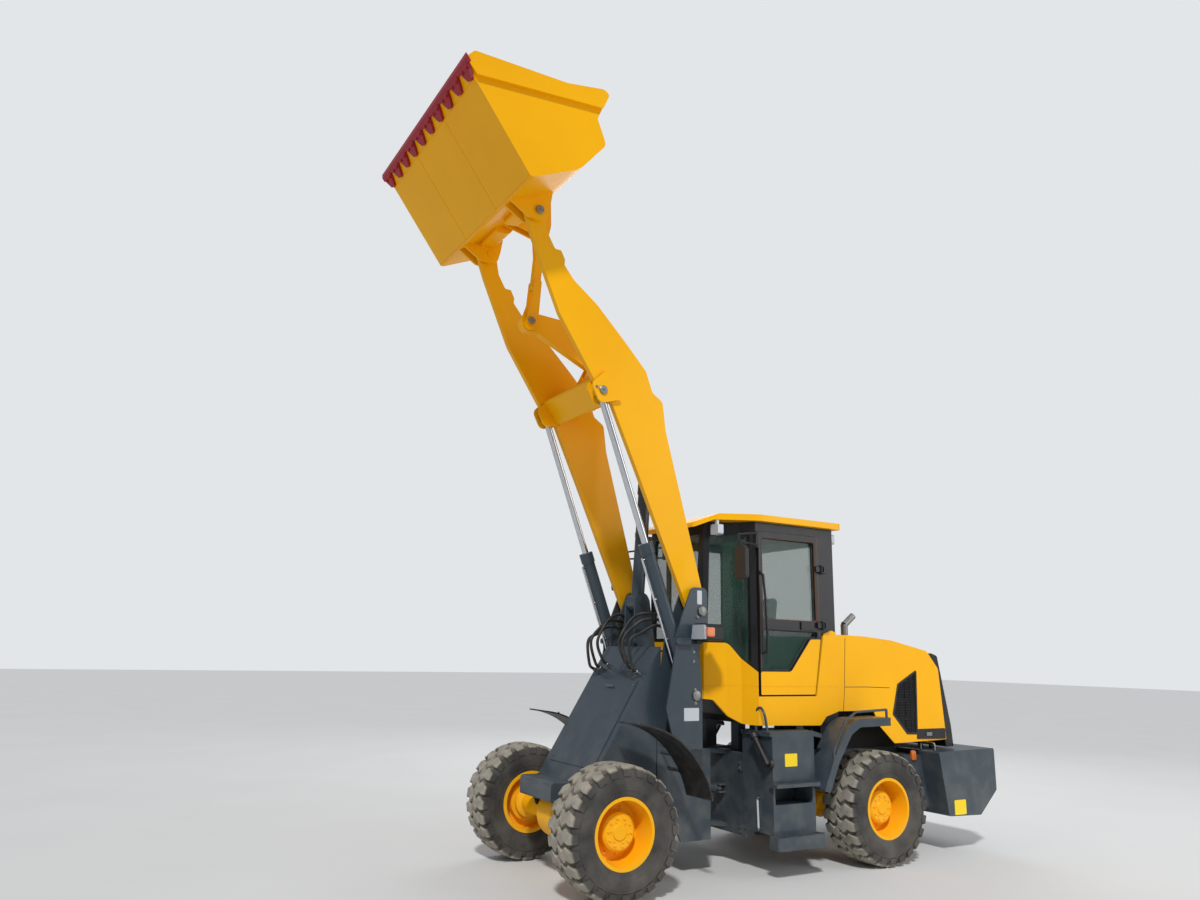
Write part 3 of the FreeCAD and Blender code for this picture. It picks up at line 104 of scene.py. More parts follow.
# Half widths to outer faces
TOWER_FACE = 0.580
HOOD_FACE = 0.660
DOOR_FACE = 0.694


def linear(colour):
    """Screen colour to the renderer's linear values."""
    values = [c / 255 for c in colour]
    return [v / 12.92 if v <= 0.04045 else ((v + 0.055) / 1.055) ** 2.4 for v in values] + [1.0]


# Materials

def new_material(name):
    material = bpy.data.materials.new(name)
    material.use_nodes = True
    return material, material.node_tree.nodes, material.node_tree.links


def noise(nodes, links, scale, detail=4.0, stretch=(1, 1, 1)):
    """Noise in object space; its value from 0 to 1."""
    place = nodes.new("ShaderNodeTexCoord")
    mapping = nodes.new("ShaderNodeMapping")
    mapping.inputs["Scale"].default_value = stretch
    texture = nodes.new("ShaderNodeTexNoise")
    texture.inputs["Scale"].default_value = scale
    texture.inputs["Detail"].default_value = detail
    links.new(place.outputs["Object"], mapping.inputs["Vector"])
    links.new(mapping.outputs["Vector"], texture.inputs["Vector"])
    return texture.outputs["Fac"]


def ramp(nodes, links, value, stops):
    """A colour ramp. stops are (place, linear colour)."""
    node = nodes.new("ShaderNodeValToRGB")
    elements = node.color_ramp.elements
    while len(elements) < len(stops):
        elements.new(0.5)
    for element, (place, colour) in zip(elements, stops):
        element.position = place
        element.color = colour
    links.new(value, node.inputs["Fac"])
    return node.outputs["Color"]


def spread(nodes, links, value, low, high, to_low=0.0, to_high=1.0):
    """Map a value from one range to another."""
    node = nodes.new("ShaderNodeMapRange")
    node.inputs["From Min"].default_value = low
    node.inputs["From Max"].default_value = high
    node.inputs["To Min"].default_value = to_low
    node.inputs["To Max"].default_value = to_high
    links.new(value, node.inputs["Value"])
    return node.outputs["Result"]


def times(nodes, links, first, second):
    node = nodes.new("ShaderNodeMath")
    node.operation = "MULTIPLY"
    for socket, value in zip(node.inputs, (first, second)):
        if isinstance(value, bpy.types.NodeSocket):
            links.new(value, socket)
        else:
            socket.default_value = value
    return node.outputs["Value"]


def mix(nodes, links, factor, low, high):
    """Blend two colours by a factor socket; low and high are sockets or colours."""
    node = nodes.new("ShaderNodeMix")
    node.data_type = "RGBA"
    links.new(factor, node.inputs["Factor"])
    for key, value in (("A", low), ("B", high)):
        target = [s for s in node.inputs if s.name == key and s.type == "RGBA"][0]
        if isinstance(value, bpy.types.NodeSocket):
            links.new(value, target)
        else:
            target.default_value = value
    return [s for s in node.outputs if s.type == "RGBA"][0]


def bump(nodes, links, shader, height, strength, distance):
    node = nodes.new("ShaderNodeBump")
    node.inputs["Strength"].default_value = strength
    node.inputs["Distance"].default_value = distance
    links.new(height, node.inputs["Height"])
    links.new(node.outputs["Normal"], shader.inputs["Normal"])


def shaded(colour, factor):
    """A darker or lighter version of a linear colour."""
    return [min(1.0, c * factor) for c in colour[:3]] + [1.0]


def height_of(nodes, links):
    """Height above the ground."""
    place = nodes.new("ShaderNodeTexCoord")
    split = nodes.new("ShaderNodeSeparateXYZ")
    links.new(place.outputs["Object"], split.inputs["Vector"])
    return split.outputs["Z"]


def paint(name, colour, rough=0.32, coat=0.3, dust=0.0, shine=0.35):
    """Sprayed enamel: slight shade drift, orange peel, a clear coat, and dust low on the machine."""
    material, nodes, links = new_material(name)
    shader = nodes["Principled BSDF"]
    base = linear(colour)
    cloud = noise(nodes, links, 1.4, 3.0)
    tone = ramp(nodes, links, cloud, [(0.3, shaded(base, 0.94)), (0.7, shaded(base, 1.04))])
    speck = noise(nodes, links, 60.0, 3.0)
    tone = mix(nodes, links, spread(nodes, links, speck, 0.66, 0.78, 0.0, 0.16), tone, shaded(base, 0.55))
    if dust:
        film = spread(nodes, links, noise(nodes, links, 7.0, 6.0), 0.42, 0.78, 0.15, 1.0)
        low = spread(nodes, links, height_of(nodes, links), 1.5, 0.25, 0.0, dust)
        tone = mix(nodes, links, times(nodes, links, film, low), tone, linear(DUST))
    links.new(tone, shader.inputs["Base Color"])
    wear = noise(nodes, links, 11.0, 5.0)
    links.new(spread(nodes, links, wear, 0.0, 1.0, rough - 0.06, rough + 0.12), shader.inputs["Roughness"])
    shader.inputs["Coat Weight"].default_value = coat
    shader.inputs["Coat Roughness"].default_value = 0.14
    shader.inputs["Specular IOR Level"].default_value = shine
    bump(nodes, links, shader, noise(nodes, links, 160.0, 2.0), 0.05, 0.001)
    return material


def rubber(name, colour, rough=0.72, grain=240.0, dust=0.0):
    """Moulded rubber or plastic: fine grain and a dusty film."""
    material, nodes, links = new_material(name)
    shader = nodes["Principled BSDF"]
    base = linear(colour)
    cloud = noise(nodes, links, 3.0, 5.0)
    tone = ramp(nodes, links, cloud, [(0.3, shaded(base, 0.85)), (0.7, shaded(base, 1.2))])
    if dust:
        film = spread(nodes, links, noise(nodes, links, 12.0, 8.0), 0.45, 0.8, 0.0, dust)
        tone = mix(nodes, links, film, tone, linear(DUST))
    links.new(tone, shader.inputs["Base Color"])
    shader.inputs["Roughness"].default_value = rough
    bump(nodes, links, shader, noise(nodes, links, grain, 3.0), 0.12, 0.0008)
    return material


def tyre_material(name):
    """Black rubber, its tread dusted grey-brown; the dust follows the distance from the hub."""
    material, nodes, links = new_material(name)
    shader = nodes["Principled BSDF"]
    place = nodes.new("ShaderNodeTexCoord")
    centre = nodes.new("ShaderNodeVectorMath")
    centre.operation = "ABSOLUTE"
    links.new(place.outputs["Object"], centre.inputs[0])
    wheel = nodes.new("ShaderNodeVectorMath")
    wheel.operation = "SUBTRACT"
    wheel.inputs[1].default_value = (AXLE_X, 0, TYRE_R)
    links.new(centre.outputs["Vector"], wheel.inputs[0])
    flat = nodes.new("ShaderNodeVectorMath")
    flat.operation = "MULTIPLY"
    flat.inputs[1].default_value = (1, 0, 1)
    links.new(wheel.outputs["Vector"], flat.inputs[0])
    reach = nodes.new("ShaderNodeVectorMath")
    reach.operation = "LENGTH"
    links.new(flat.outputs["Vector"], reach.inputs[0])
    tread = spread(nodes, links, reach.outputs["Value"], TYRE_R - 0.034, TYRE_R - 0.016)
    film = spread(nodes, links, noise(nodes, links, 14.0, 8.0), 0.25, 0.65, 0.55, 1.0)
    fine = noise(nodes, links, 90.0, 4.0)
    film = times(nodes, links, film, spread(nodes, links, fine, 0.3, 0.7, 0.8, 1.0))
    side = spread(nodes, links, noise(nodes, links, 5.0, 8.0), 0.35, 0.75, 0.04, 0.24)
    dusty = nodes.new("ShaderNodeMath")
    dusty.operation = "MAXIMUM"
    links.new(times(nodes, links, film, tread), dusty.inputs[0])
    links.new(side, dusty.inputs[1])
    tone = mix(nodes, links, dusty.outputs["Value"], linear(RUBBER), linear(DUST))
    links.new(tone, shader.inputs["Base Color"])
    shader.inputs["Roughness"].default_value = 0.86
    bump(nodes, links, shader, noise(nodes, links, 110.0, 4.0), 0.3, 0.0015)
    return material


def metal(name, colour, rough, brushed=0.0):
    """Bare metal, with brushing along Z where asked."""
    material, nodes, links = new_material(name)
    shader = nodes["Principled BSDF"]
    base = linear(colour)
    stretch = (1, 1, 0.05) if brushed else (1, 1, 1)
    grain = noise(nodes, links, 90.0, 4.0, stretch)
    tone = ramp(nodes, links, grain, [(0.3, shaded(base, 0.86)), (0.7, shaded(base, 1.08))])
    links.new(tone, shader.inputs["Base Color"])
    shader.inputs["Metallic"].default_value = 1.0
    links.new(spread(nodes, links, grain, 0.0, 1.0, rough * 0.7, rough * 1.4), shader.inputs["Roughness"])
    bump(nodes, links, shader, grain, 0.05 + brushed * 0.1, 0.0005)
    return material


def fabric(name, colour):
    """Woven seat cloth."""
    material, nodes, links = new_material(name)
    shader = nodes["Principled BSDF"]
    base = linear(colour)
    place = nodes.new("ShaderNodeTexCoord")
    weave = nodes.new("ShaderNodeTexChecker")
    weave.inputs["Scale"].default_value = 420.0
    weave.inputs["Color1"].default_value = shaded(base, 0.8)
    weave.inputs["Color2"].default_value = shaded(base, 1.3)
    links.new(place.outputs["Object"], weave.inputs["Vector"])
    links.new(weave.outputs["Color"], shader.inputs["Base Color"])
    shader.inputs["Roughness"].default_value = 0.9
    shader.inputs["Sheen Weight"].default_value = 0.3
    bump(nodes, links, shader, weave.outputs["Fac"], 0.3, 0.0006)
    return material


def glass(name, tint, alpha):
    """Tinted safety glass: mostly clear, with a green cast and reflections."""
    material, nodes, links = new_material(name)
    shader = nodes["Principled BSDF"]
    streak = noise(nodes, links, 2.2, 3.0)
    base = linear(tint)
    tone = ramp(nodes, links, streak, [(0.3, shaded(base, 0.9)), (0.7, shaded(base, 1.08))])
    links.new(tone, shader.inputs["Base Color"])
    shader.inputs["Roughness"].default_value = 0.03
    shader.inputs["IOR"].default_value = 1.5
    shader.inputs["Alpha"].default_value = alpha
    shader.inputs["Coat Weight"].default_value = 0.5
    shader.inputs["Coat Roughness"].default_value = 0.03
    return material


def lens(name, tint, bands="Y"):
    """Moulded lamp lens with fine flutes."""
    material, nodes, links = new_material(name)
    shader = nodes["Principled BSDF"]
    place = nodes.new("ShaderNodeTexCoord")
    flutes = nodes.new("ShaderNodeTexWave")
    flutes.inputs["Scale"].default_value = 34.0
    flutes.inputs["Distortion"].default_value = 0.3
    flutes.bands_direction = bands
    links.new(place.outputs["Object"], flutes.inputs["Vector"])
    base = linear(tint)
    tone = ramp(nodes, links, flutes.outputs["Fac"], [(0.2, shaded(base, 0.6)), (0.8, shaded(base, 1.1))])
    links.new(tone, shader.inputs["Base Color"])
    shader.inputs["Roughness"].default_value = 0.08
    shader.inputs["Coat Weight"].default_value = 0.8
    bump(nodes, links, shader, flutes.outputs["Fac"], 0.5, 0.002)
    return material


TYRE_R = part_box("tyre_front_left")[1].z / 2
AXLE_X = (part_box("tyre_front_left")[0].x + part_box("tyre_front_left")[1].x) / 2

MATERIALS = {
    "tyre": tyre_material("tyre_rubber"),
    "rim": paint("rim_enamel", YELLOW, 0.38, 0.05, dust=0.10, shine=0.2),
    "yellow": paint("yellow_enamel", YELLOW, 0.36, 0.05, dust=0.08, shine=0.2),
    "slate": paint("slate_enamel", SLATE, 0.34, 0.25, dust=0.22),
    "black": paint("black_enamel", SATIN_BLACK, 0.4, 0.25, dust=0.15),
    "rubber": rubber("hose_rubber", (30, 30, 31), 0.55, dust=0.12),
    "dark_plastic": rubber("moulded_plastic", (32, 33, 36), 0.5, grain=400.0),
    "trim": paint("bronze_trim", TRIM, 0.45, 0.1),
    "glass": glass("cab_safety_glass", (58, 92, 78), 0.30),
    "lamp": lens("lamp_lens", (186, 193, 200)),
    "amber": lens("amber_lens", (236, 120, 30), "Z"),
    "tail": lens("tail_lens", (150, 20, 24), "Z"),
    "plate": paint("blank_plate", (196, 200, 206), 0.35, 0.2),
    "label": paint("blank_label", (250, 214, 20), 0.4, 0.2),
    "seat_fabric": fabric("seat_cloth", FABRIC),
    "engine": metal("cast_engine", ENGINE_GREY, 0.6),
    "steel": metal("weathered_steel", STEEL, 0.4, brushed=1.0),
    "chrome": metal("polished_rod", CHROME, 0.12, brushed=0.3),
    "red": paint("red_enamel", RED, 0.42, 0.2),
}

slots = {part["node"]: part["material_slot"] for part in frame["record"]["subparts"]}
for node, obj in frame["nodes"].items():
    obj.data.materials.clear()
    obj.data.materials.append(MATERIALS[slots[node]])


# Shapes: each is (points, faces)

def square_to(axis):
    """Two unit vectors square to an axis, and the axis."""
    axis = Vector(axis).normalized()
    side = axis.orthogonal().normalized()
    return side, axis.cross(side), axis


def lathe(place, axis, profile, count=24, turn=0.0, closed=False):
    """Turned shape. profile is (along the axis, radius); closed joins its last ring to the first."""
    side, rise, axis = square_to(axis)
    points, faces = [], []
    for along, radius in profile:
        for k in range(count):
            a = 2 * math.pi * k / count + turn
            points.append(Vector(place) + axis * along + (side * math.cos(a) + rise * math.sin(a)) * radius)
    rows = len(profile)
    for r in range(rows if closed else rows - 1):
        s = (r + 1) % rows
        for k in range(count):
            n = (k + 1) % count
            faces.append((r * count + k, r * count + n, s * count + n, s * count + k))
    if not closed:
        faces.append(tuple(reversed(range(count))))
        faces.append(tuple(range((rows - 1) * count, rows * count)))
    return points, faces


def bolt(place, axis, size):
    """Hex head on a washer; size is across the head's corners."""
    # Along the axis and radius, as shares of the size
    head = [(0.14, 0.5), (0.5, 0.5), (0.6, 0.38)]
    washer = [(-0.1, 0.66), (0.12, 0.66), (0.16, 0.6)]
    head, washer = ([(along * size, radius * size) for along, radius in ring] for ring in (head, washer))
    head, washer = lathe(place, axis, head, 6, 0.3), lathe(place, axis, washer, 14)
    return joined([head, washer])


def joined(shapes):
    points, faces = [], []
    for some_points, some_faces in shapes:
        start = len(points)
        points += some_points
        faces += [tuple(i + start for i in face) for face in some_faces]
    return points, faces


def mirrored(shape):
    """The shape on the machine's other side."""
    points, faces = shape
    return [Vector((p[0], -p[1], p[2])) for p in points], [tuple(reversed(face)) for face in faces]


def block(low, high, edge=0.004):
    """Box between two corners with rounded edges."""
    mesh = bmesh.new()
    bmesh.ops.create_cube(mesh, size=1.0)
    low, high = Vector(low), Vector(high)
    for vert in mesh.verts:
        vert.co = Vector([low[i] + (vert.co[i] + 0.5) * (high[i] - low[i]) for i in range(3)])
    if edge:
        bmesh.ops.bevel(mesh, geom=mesh.edges[:], offset=edge, segments=2, affect="EDGES")
    shape = [v.co.copy() for v in mesh.verts], [tuple(v.index for v in f.verts) for f in mesh.faces]
    mesh.free()
    return shape


def rounded(outline, radius, steps=4):
    """A 2-D outline with its corners rounded."""
    result = []
    count = len(outline)
    for i in range(count):
        here = Vector(outline[i])
        back = Vector(outline[i - 1]) - here
        ahead = Vector(outline[(i + 1) % count]) - here
        reach = min(radius, back.length * 0.45, ahead.length * 0.45)
        start, end = here + back.normalized() * reach, here + ahead.normalized() * reach
        for k in range(steps + 1):
            t = k / steps
            result.append(start * (1 - t) ** 2 + here * (2 * t * (1 - t)) + end * t ** 2)
    return result


def slab(outline, axes, depth, start=0.0, edge=0.003, origin=(0, 0, 0)):
    """A plate: 2-D outline along two axes, its depth along the third from start, with a bevelled rim."""
    u, v, w = (Vector(a) for a in axes)
    centre = sum((Vector(p) for p in outline), Vector((0, 0))) / len(outline)
    points, faces = [], []
    rings = [(start, 0.0), (start + depth - edge, 0.0), (start + depth, edge)]
    for along, inset in rings:
        for p in outline:
            q = Vector(p)
            pull = (centre - q).normalized() * inset
            points.append(Vector(origin) + u * (q.x + pull.x) + v * (q.y + pull.y) + w * along)
    count = len(outline)
    for r in range(2):
        for k in range(count):
            n = (k + 1) % count
            faces.append((r * count + k, r * count + n, (r + 1) * count + n, (r + 1) * count + k))
    faces.append(tuple(reversed(range(count))))
    faces.append(tuple(range(2 * count, 3 * count)))
    return points, faces


def smooth_line(points, steps=6):
    """Points along a Catmull-Rom curve through the given ones."""
    line = [Vector(p) for p in points]
    line = [line[0] * 2 - line[1]] + line + [line[-1] * 2 - line[-2]]
    result = []
    for i in range(1, len(line) - 2):
        a, b, c, d = line[i - 1:i + 3]
        for k in range(steps):
            t = k / steps
            result.append(0.5 * (2 * b + (c - a) * t + (2 * a - 5 * b + 4 * c - d) * t ** 2
                                 + (3 * b - a - 3 * c + d) * t ** 3))
    return result + [line[-2]]


def tube(line, radius, sides=12):
    """Round tube along a line of points."""
    points, faces = [], []
    side = None
    for i, here in enumerate(line):
        along = (line[min(i + 1, len(line) - 1)] - line[max(i - 1, 0)]).normalized()
        if side is None:
            side = along.orthogonal()
        side = (side - along * side.dot(along)).normalized()
        rise = along.cross(side)
        for k in range(sides):
            a = 2 * math.pi * k / sides
            points.append(here + side * (radius * math.cos(a)) + rise * (radius * math.sin(a)))
    for r in range(len(line) - 1):
        for k in range(sides):
            n = (k + 1) % sides
            faces.append((r * sides + k, r * sides + n, (r + 1) * sides + n, (r + 1) * sides + k))
    faces.append(tuple(reversed(range(sides))))
    faces.append(tuple(range((len(line) - 1) * sides, len(line) * sides)))
    return points, faces


def shown(name, shapes, material, body, smooth=True, replaces=()):
    """One mesh of several shapes, riding on a body."""
    points, faces = joined(shapes)
    mesh = bpy.data.meshes.new(name)
    mesh.from_pydata([tuple(p) for p in points], [], faces)
    mesh.update()
    work = bmesh.new()
    work.from_mesh(mesh)
    bmesh.ops.recalc_face_normals(work, faces=work.faces)
    work.to_mesh(mesh)
    work.free()
    if smooth:
        mesh.shade_smooth()
        mesh.set_sharp_from_angle(angle=math.radians(35))
    obj = bpy.data.objects.new(name, mesh)
    bpy.context.scene.collection.objects.link(obj)
    obj.data.materials.append(MATERIALS[material])
    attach(obj, body)
    if replaces:
        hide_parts(*replaces)
    return obj


def both(shape):
    return [shape, mirrored(shape)]


# Tyres

LUGS = 24
TREAD_R = 0.47


def wheel_centre(name):
    low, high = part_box("tyre_" + name)
    return (Vector(low) + Vector(high)) / 2


def tyre_carcass():
    """Sidewalls with rings, bead to bead, about the wheel's own centre."""
    # Across from the middle, and radius
    side = [(0.1435, 0.2515), (0.1555, 0.2530), (0.1600, 0.2620), (0.1640, 0.2780), (0.1672, 0.2960),
            (0.1700, 0.3000), (0.1712, 0.3040), (0.1700, 0.3080), (0.1712, 0.3120), (0.1735, 0.3400),
            (0.1740, 0.3620), (0.1722, 0.3800), (0.1740, 0.3830), (0.1740, 0.3870), (0.1705, 0.3900),
            (0.1660, 0.4120), (0.1560, 0.4330), (0.1200, 0.4430), (0.0300, 0.4460)]
    inner = [(0.1430, 0.2340), (-0.1430, 0.2340)]
    profile = [(-y, r) for y, r in side] + [(y, r) for y, r in reversed(side)] + inner
    return lathe((0, 0, 0), (0, 1, 0), profile, 96, closed=True)


def tyre_lug(way, middle):
    """One stepped tread block from the centre out over the shoulder. way is +1 or -1 across."""
    # Stations: across, shift round, outer radius, inner radius, half width
    stations = [(0.004, 0.022, 0.4700, 0.440, 0.040), (0.048, -0.016, 0.4700, 0.440, 0.042),
                (0.096, 0.020, 0.4690, 0.438, 0.042), (0.135, 0.002, 0.4660, 0.434, 0.040),
                (0.166, -0.002, 0.4560, 0.424, 0.036), (0.1765, -0.002, 0.4440, 0.412, 0.034),
                (0.1775, -0.002, 0.4140, 0.395, 0.032)]
    points, faces = [], []
    for across, shift, outer, inner, half in stations:
        for reach, radius in ((-half - 0.003, inner), (-half, outer - 0.004), (-half + 0.004, outer),
                              (half - 0.004, outer), (half, outer - 0.004), (half + 0.003, inner)):
            a = middle + (shift + reach) / TREAD_R
            points.append(Vector((radius * math.sin(a), across * way, -radius * math.cos(a))))
    wide = 6
    for r in range(len(stations) - 1):
        for k in range(wide - 1):
            faces.append((r * wide + k, r * wide + k + 1, (r + 1) * wide + k + 1, (r + 1) * wide + k))
    faces.append(tuple(range(wide)))
    faces.append(tuple((len(stations) - 1) * wide + k for k in range(wide)))
    return points, faces


def tyres():
    lugs = []
    for k in range(LUGS):
        for way in (1, -1):
            middle = 2 * math.pi * (k + (0.5 if way < 0 else 0.0)) / LUGS
            lugs.append(tyre_lug(way, middle))
    points, faces = joined([tyre_carcass()] + lugs)
    for name in WHEELS:
        centre = wheel_centre(name)
        placed = [p + centre for p in points]
        shown("tyre_tread_" + name, [(placed, faces)], "tyre", "wheel_" + name, replaces=["tyre_" + name])


def wheel_bolts():
    """Rings of hex bolts on the disc and the hub cover, and the valve."""
    for name in WHEELS:
        centre = wheel_centre(name)
        out = 1 if centre.y > 0 else -1
        shapes = []
        # Ring: bolts, ring radius, across, head size
        for count, radius, across, size in ((10, 0.165, -0.030, 0.024), (10, 0.097, 0.076, 0.017),
                                            (6, 0.074, 0.076, 0.013)):
            for k in range(count):
                a = 2 * math.pi * (k + 0.35) / count
                place = centre + Vector((radius * math.sin(a), across * out, radius * math.cos(a)))
                shapes.append(bolt(place, (0, out, 0), size))
        shown("wheel_bolts_" + name, shapes, "rim", "wheel_" + name)
        valve = centre + Vector((0.19, -0.03 * out, 0.02))
        stem = lathe(valve, (0.1, out, 0), [(0, 0.006), (0.045, 0.006), (0.05, 0.004)], 10)
        shown("valve_" + name, [stem], "rubber", "wheel_" + name)


# Front frame and its parts

def tower_fittings():
    """Bolts, pin ends, reflectors and blank plates on the towers."""
    bolts, pins = [], []
    for x, z in ((0.478, 1.747), (0.479, 1.670), (0.464, 1.445), (0.460, 1.340), (0.440, 2.030)):
        bolts += both(bolt((x, TOWER_FACE, z), (0, 1, 0), 0.022))
    for x, z, radius in ((0.390, 2.080, 0.042), (0.450, 1.400, 0.040)):
        profile = [(0, radius), (0.014, radius), (0.018, radius - 0.006)]
        pins += both(lathe((x, TOWER_FACE, z), (0, 1, 0), profile, 28))
    blank = rounded([(0.425, 1.203), (0.574, 1.203), (0.574, 1.304), (0.425, 1.304)], 0.008)
    strip = rounded([(0.392, 2.135), (0.440, 2.135), (0.440, 2.250), (0.392, 2.250)], 0.008)
    labels = [slab(blank, SIDE, 0.002, TOWER_FACE, 0.0005)]
    labels += both(slab(strip, SIDE, 0.004, TOWER_FACE, 0.001))
    shown("tower_bolts", bolts, "steel", "front_frame")
    shown("tower_pin_ends", pins, "steel", "front_frame")
    shown("tower_labels", labels, "plate", "front_frame")


def nose_fittings():
    """Handle and screws of the hatch on the sloped cover."""
    grip = [NOSE_TOP + NOSE_DOWN * 0.40 + NOSE_OUT * lift + Vector((0, y, 0))
            for y, lift in ((-0.045, 0.005), (-0.045, 0.028), (0.045, 0.028), (0.045, 0.005))]
    screws = [bolt(NOSE_TOP + NOSE_DOWN * reach + NOSE_OUT * 0.007 + Vector((0, y, 0)), NOSE_OUT, 0.014)
              for reach in (0.37, (NOSE_FOOT - NOSE_TOP).length - 0.16) for y in (0.33, -0.33)]
    shown("hatch_handle", [tube(smooth_line(grip), 0.006)] + screws, "steel", "front_frame")


HOSE_R = 0.013
# End fitting of a hose: along it, and radius
FITTING = [(0, 0.020), (0.014, 0.020), (0.015, 0.017), (0.052, 0.017), (0.056, 0.014)]


def hoses():
    """Hydraulic hoses looping from the sloped cover to the towers, with steel end fittings."""
    out = NOSE_OUT
    runs, collars = [], []
    # Across at the cover, reach down the slope, forward reach of the loop, height at the tower
    for y, reach, ahead, high in ((0.180, 0.212, 0.950, 2.060), (0.262, 0.250, 0.968, 2.010),
                                  (0.345, 0.268, 0.950, 1.955)):
        start = NOSE_TOP + NOSE_DOWN * reach + Vector((0, y, 0))
        end_x = 0.560 + (2.060 - high) * 0.3
        end = Vector((end_x, 0.420, high - 0.012))
        line = smooth_line([start + out * 0.05, start + out * 0.08 + Vector((0.022, 0, 0.030)),
                            (ahead, y, 1.825), (ahead - 0.105, y + 0.010, high - 0.060),
                            (ahead - 0.220, y + 0.030, high), (end_x + 0.020, 0.350, high - 0.010),
                            end - Vector((0, 0.040, 0))], 8)
        runs += both(tube(line, HOSE_R, 14))
        collars += both(lathe(start, out, FITTING, 18)) + both(lathe(end, (0, -1, 0), FITTING, 18))
    shown("round_hoses", runs, "rubber", "front_frame", replaces=("hoses",))
    shown("hose_fittings", collars, "steel", "front_frame")


def fender_bolts():
    """Bolts along the mudguards' inner edge, on the arc through three points of their side view."""
    a, b, c = Vector((1.211, 1.218)), Vector((0.851, 1.088)), Vector((0.557, 0.651))
    p, q = b - a, c - a
    scale = 2 * (p.x * q.y - p.y * q.x)
    shift = Vector((q.y * p.length_squared - p.y * q.length_squared,
                    p.x * q.length_squared - q.x * p.length_squared)) / scale
    centre, radius = a + shift, shift.length
    start = math.atan2(a.y - centre.y, a.x - centre.x)
    end = math.atan2(c.y - centre.y, c.x - centre.x)
    bolts = []
    for k in range(1, 6):
        turn = start + (end - start) * k / 6
        out = Vector((math.cos(turn), 0, math.sin(turn)))
        place = Vector((centre.x, 0.66, centre.y)) + out * radius
        bolts += both(bolt(place, out, 0.022))
    shown("mudguard_bolts", bolts, "steel", "front_frame")


def lamp_fittings():
    """Indicators on the headlamps' outer corners and the bezels round the lenses."""
    ambers = both(block((0.420, 0.782, 1.868), (0.502, 0.800, 1.944), 0.006))
    outline = [(0.592, 1.842), (0.612, 1.972), (0.772, 1.972), (0.790, 1.942), (0.790, 1.842)]
    outline = rounded(outline, 0.015)
    line = [Vector((0.492, p.x, p.y)) for p in outline]
    rims = both(tube(line + [line[0]], 0.005, 8))
    shown("indicators", ambers, "amber", "front_frame")
    shown("lamp_bezels", rims, "dark_plastic", "front_frame")


# Boom, linkage and bucket

def pin_cap(place, radius, out):
    """Pin end: a disc with a grease nipple."""
    disc = lathe(place, (0, out, 0), [(0, radius), (0.012, radius), (0.016, radius - 0.005)], 28)
    tip = Vector(place) + Vector((0, 0.016 * out, 0))
    nipple = lathe(tip, (0, out, 0), [(0, 0.008), (0.008, 0.007), (0.012, 0.004)], 10)
    return joined([disc, nipple])


def middle_caps(x, y, z, radius):
    """Pin ends on both sides of a piece on the machine's middle line."""
    return [pin_cap((x, y * out, z), radius, out) for out in (1, -1)]


def boom_fittings():
    """Pin ends on the arms, the bell crank and the link, with bolts."""
    caps = both(pin_cap((1.372, 0.554, 3.847), 0.036, 1)) + middle_caps(1.050, 0.067, 4.350, 0.040)
    bolts = both(bolt((1.432, 0.554, 3.867), (0, 1, 0), 0.02))
    shown("boom_pin_caps", caps, "steel", "boom")
    shown("boom_bolts", bolts, "steel", "boom")
    shown("link_pin_caps", middle_caps(1.821, 0.071, 4.515, 0.034), "steel", "link")


PADS = 10
EDGE_HALF = 1.05


def bucket_fittings():
    """Pin ends, edge bolts and weld beads on the bucket."""
    caps = both(pin_cap((2.022, 0.572, 5.283), 0.036, 1)) + middle_caps(1.750, 0.062, 5.410, 0.034)
    shown("bucket_pin_caps", caps, "steel", "bucket")
    heel, tip = Vector((2.299, 0, 5.296)), Vector((2.911, 0, 6.113))
    along = (tip - heel).normalized()
    out = Vector((along.z, 0, -along.x))
    length = (tip - heel).length
    bolts, beads = [], []
    # Two bolts on each of the edge's pads
    for k in range(PADS):
        middle = EDGE_HALF * ((2 * k + 1) / PADS - 1)
        for shift in (-0.04, 0.04):
            place = heel + along * (length - 0.085) + out * 0.0265 + Vector((0, middle + shift, 0))
            bolts.append(bolt(place, out, 0.026))
    shown("edge_bolts", bolts, "red", "bucket")
    for reach in (0.012, length - 0.178):
        line = [heel + along * reach + out * 0.001 + Vector((0, y, 0))
                for y in (-0.978, -0.5, 0, 0.5, 0.978)]
        beads.append(tube(line, 0.004, 8))
    for y in (-0.33, 0.33):
        beads.append(tube([heel + along * reach + out * 0.0005 + Vector((0, y, 0))
                           for reach in (0.02, length - 0.19)], 0.003, 8))
    shown("bucket_beads", beads, "yellow", "bucket")


# Rear frame

TOOTH_PITCH = 0.0126
TOOTH = 0.007
STUD = [(0, 0.009), (0.002, 0.008), (0.003, 0.005)]


def step_teeth():
    """Serrated tread on the steps and raised studs on the platform."""
    teeth = []
    # Row of teeth: how many, where it begins, then its low and high corner across and up
    for count, begin, low, high in ((36, -0.538, (0.918, 0.7265), (0.930, 0.735)),
                                    (36, -0.538, (0.842, 0.7265), (0.854, 0.735)),
                                    (38, -0.560, (0.928, 0.3345), (0.948, 0.342))):
        for k in range(count):
            x = begin + TOOTH_PITCH * k
            teeth.append(block((x, *low), (x + TOOTH, *high), 0.001))
    for i in range(11):
        for j in range(7):
            x, y = -0.60 + 0.045 * i + (0.02 if j % 2 else 0), 0.50 + 0.048 * j
            if x < -0.12:
                teeth.append(lathe((x, y, 1.1215), (0, 0, 1), STUD, 10))
    shown("step_teeth", [s for t in teeth for s in both(t)], "slate", "rear_frame", smooth=False)


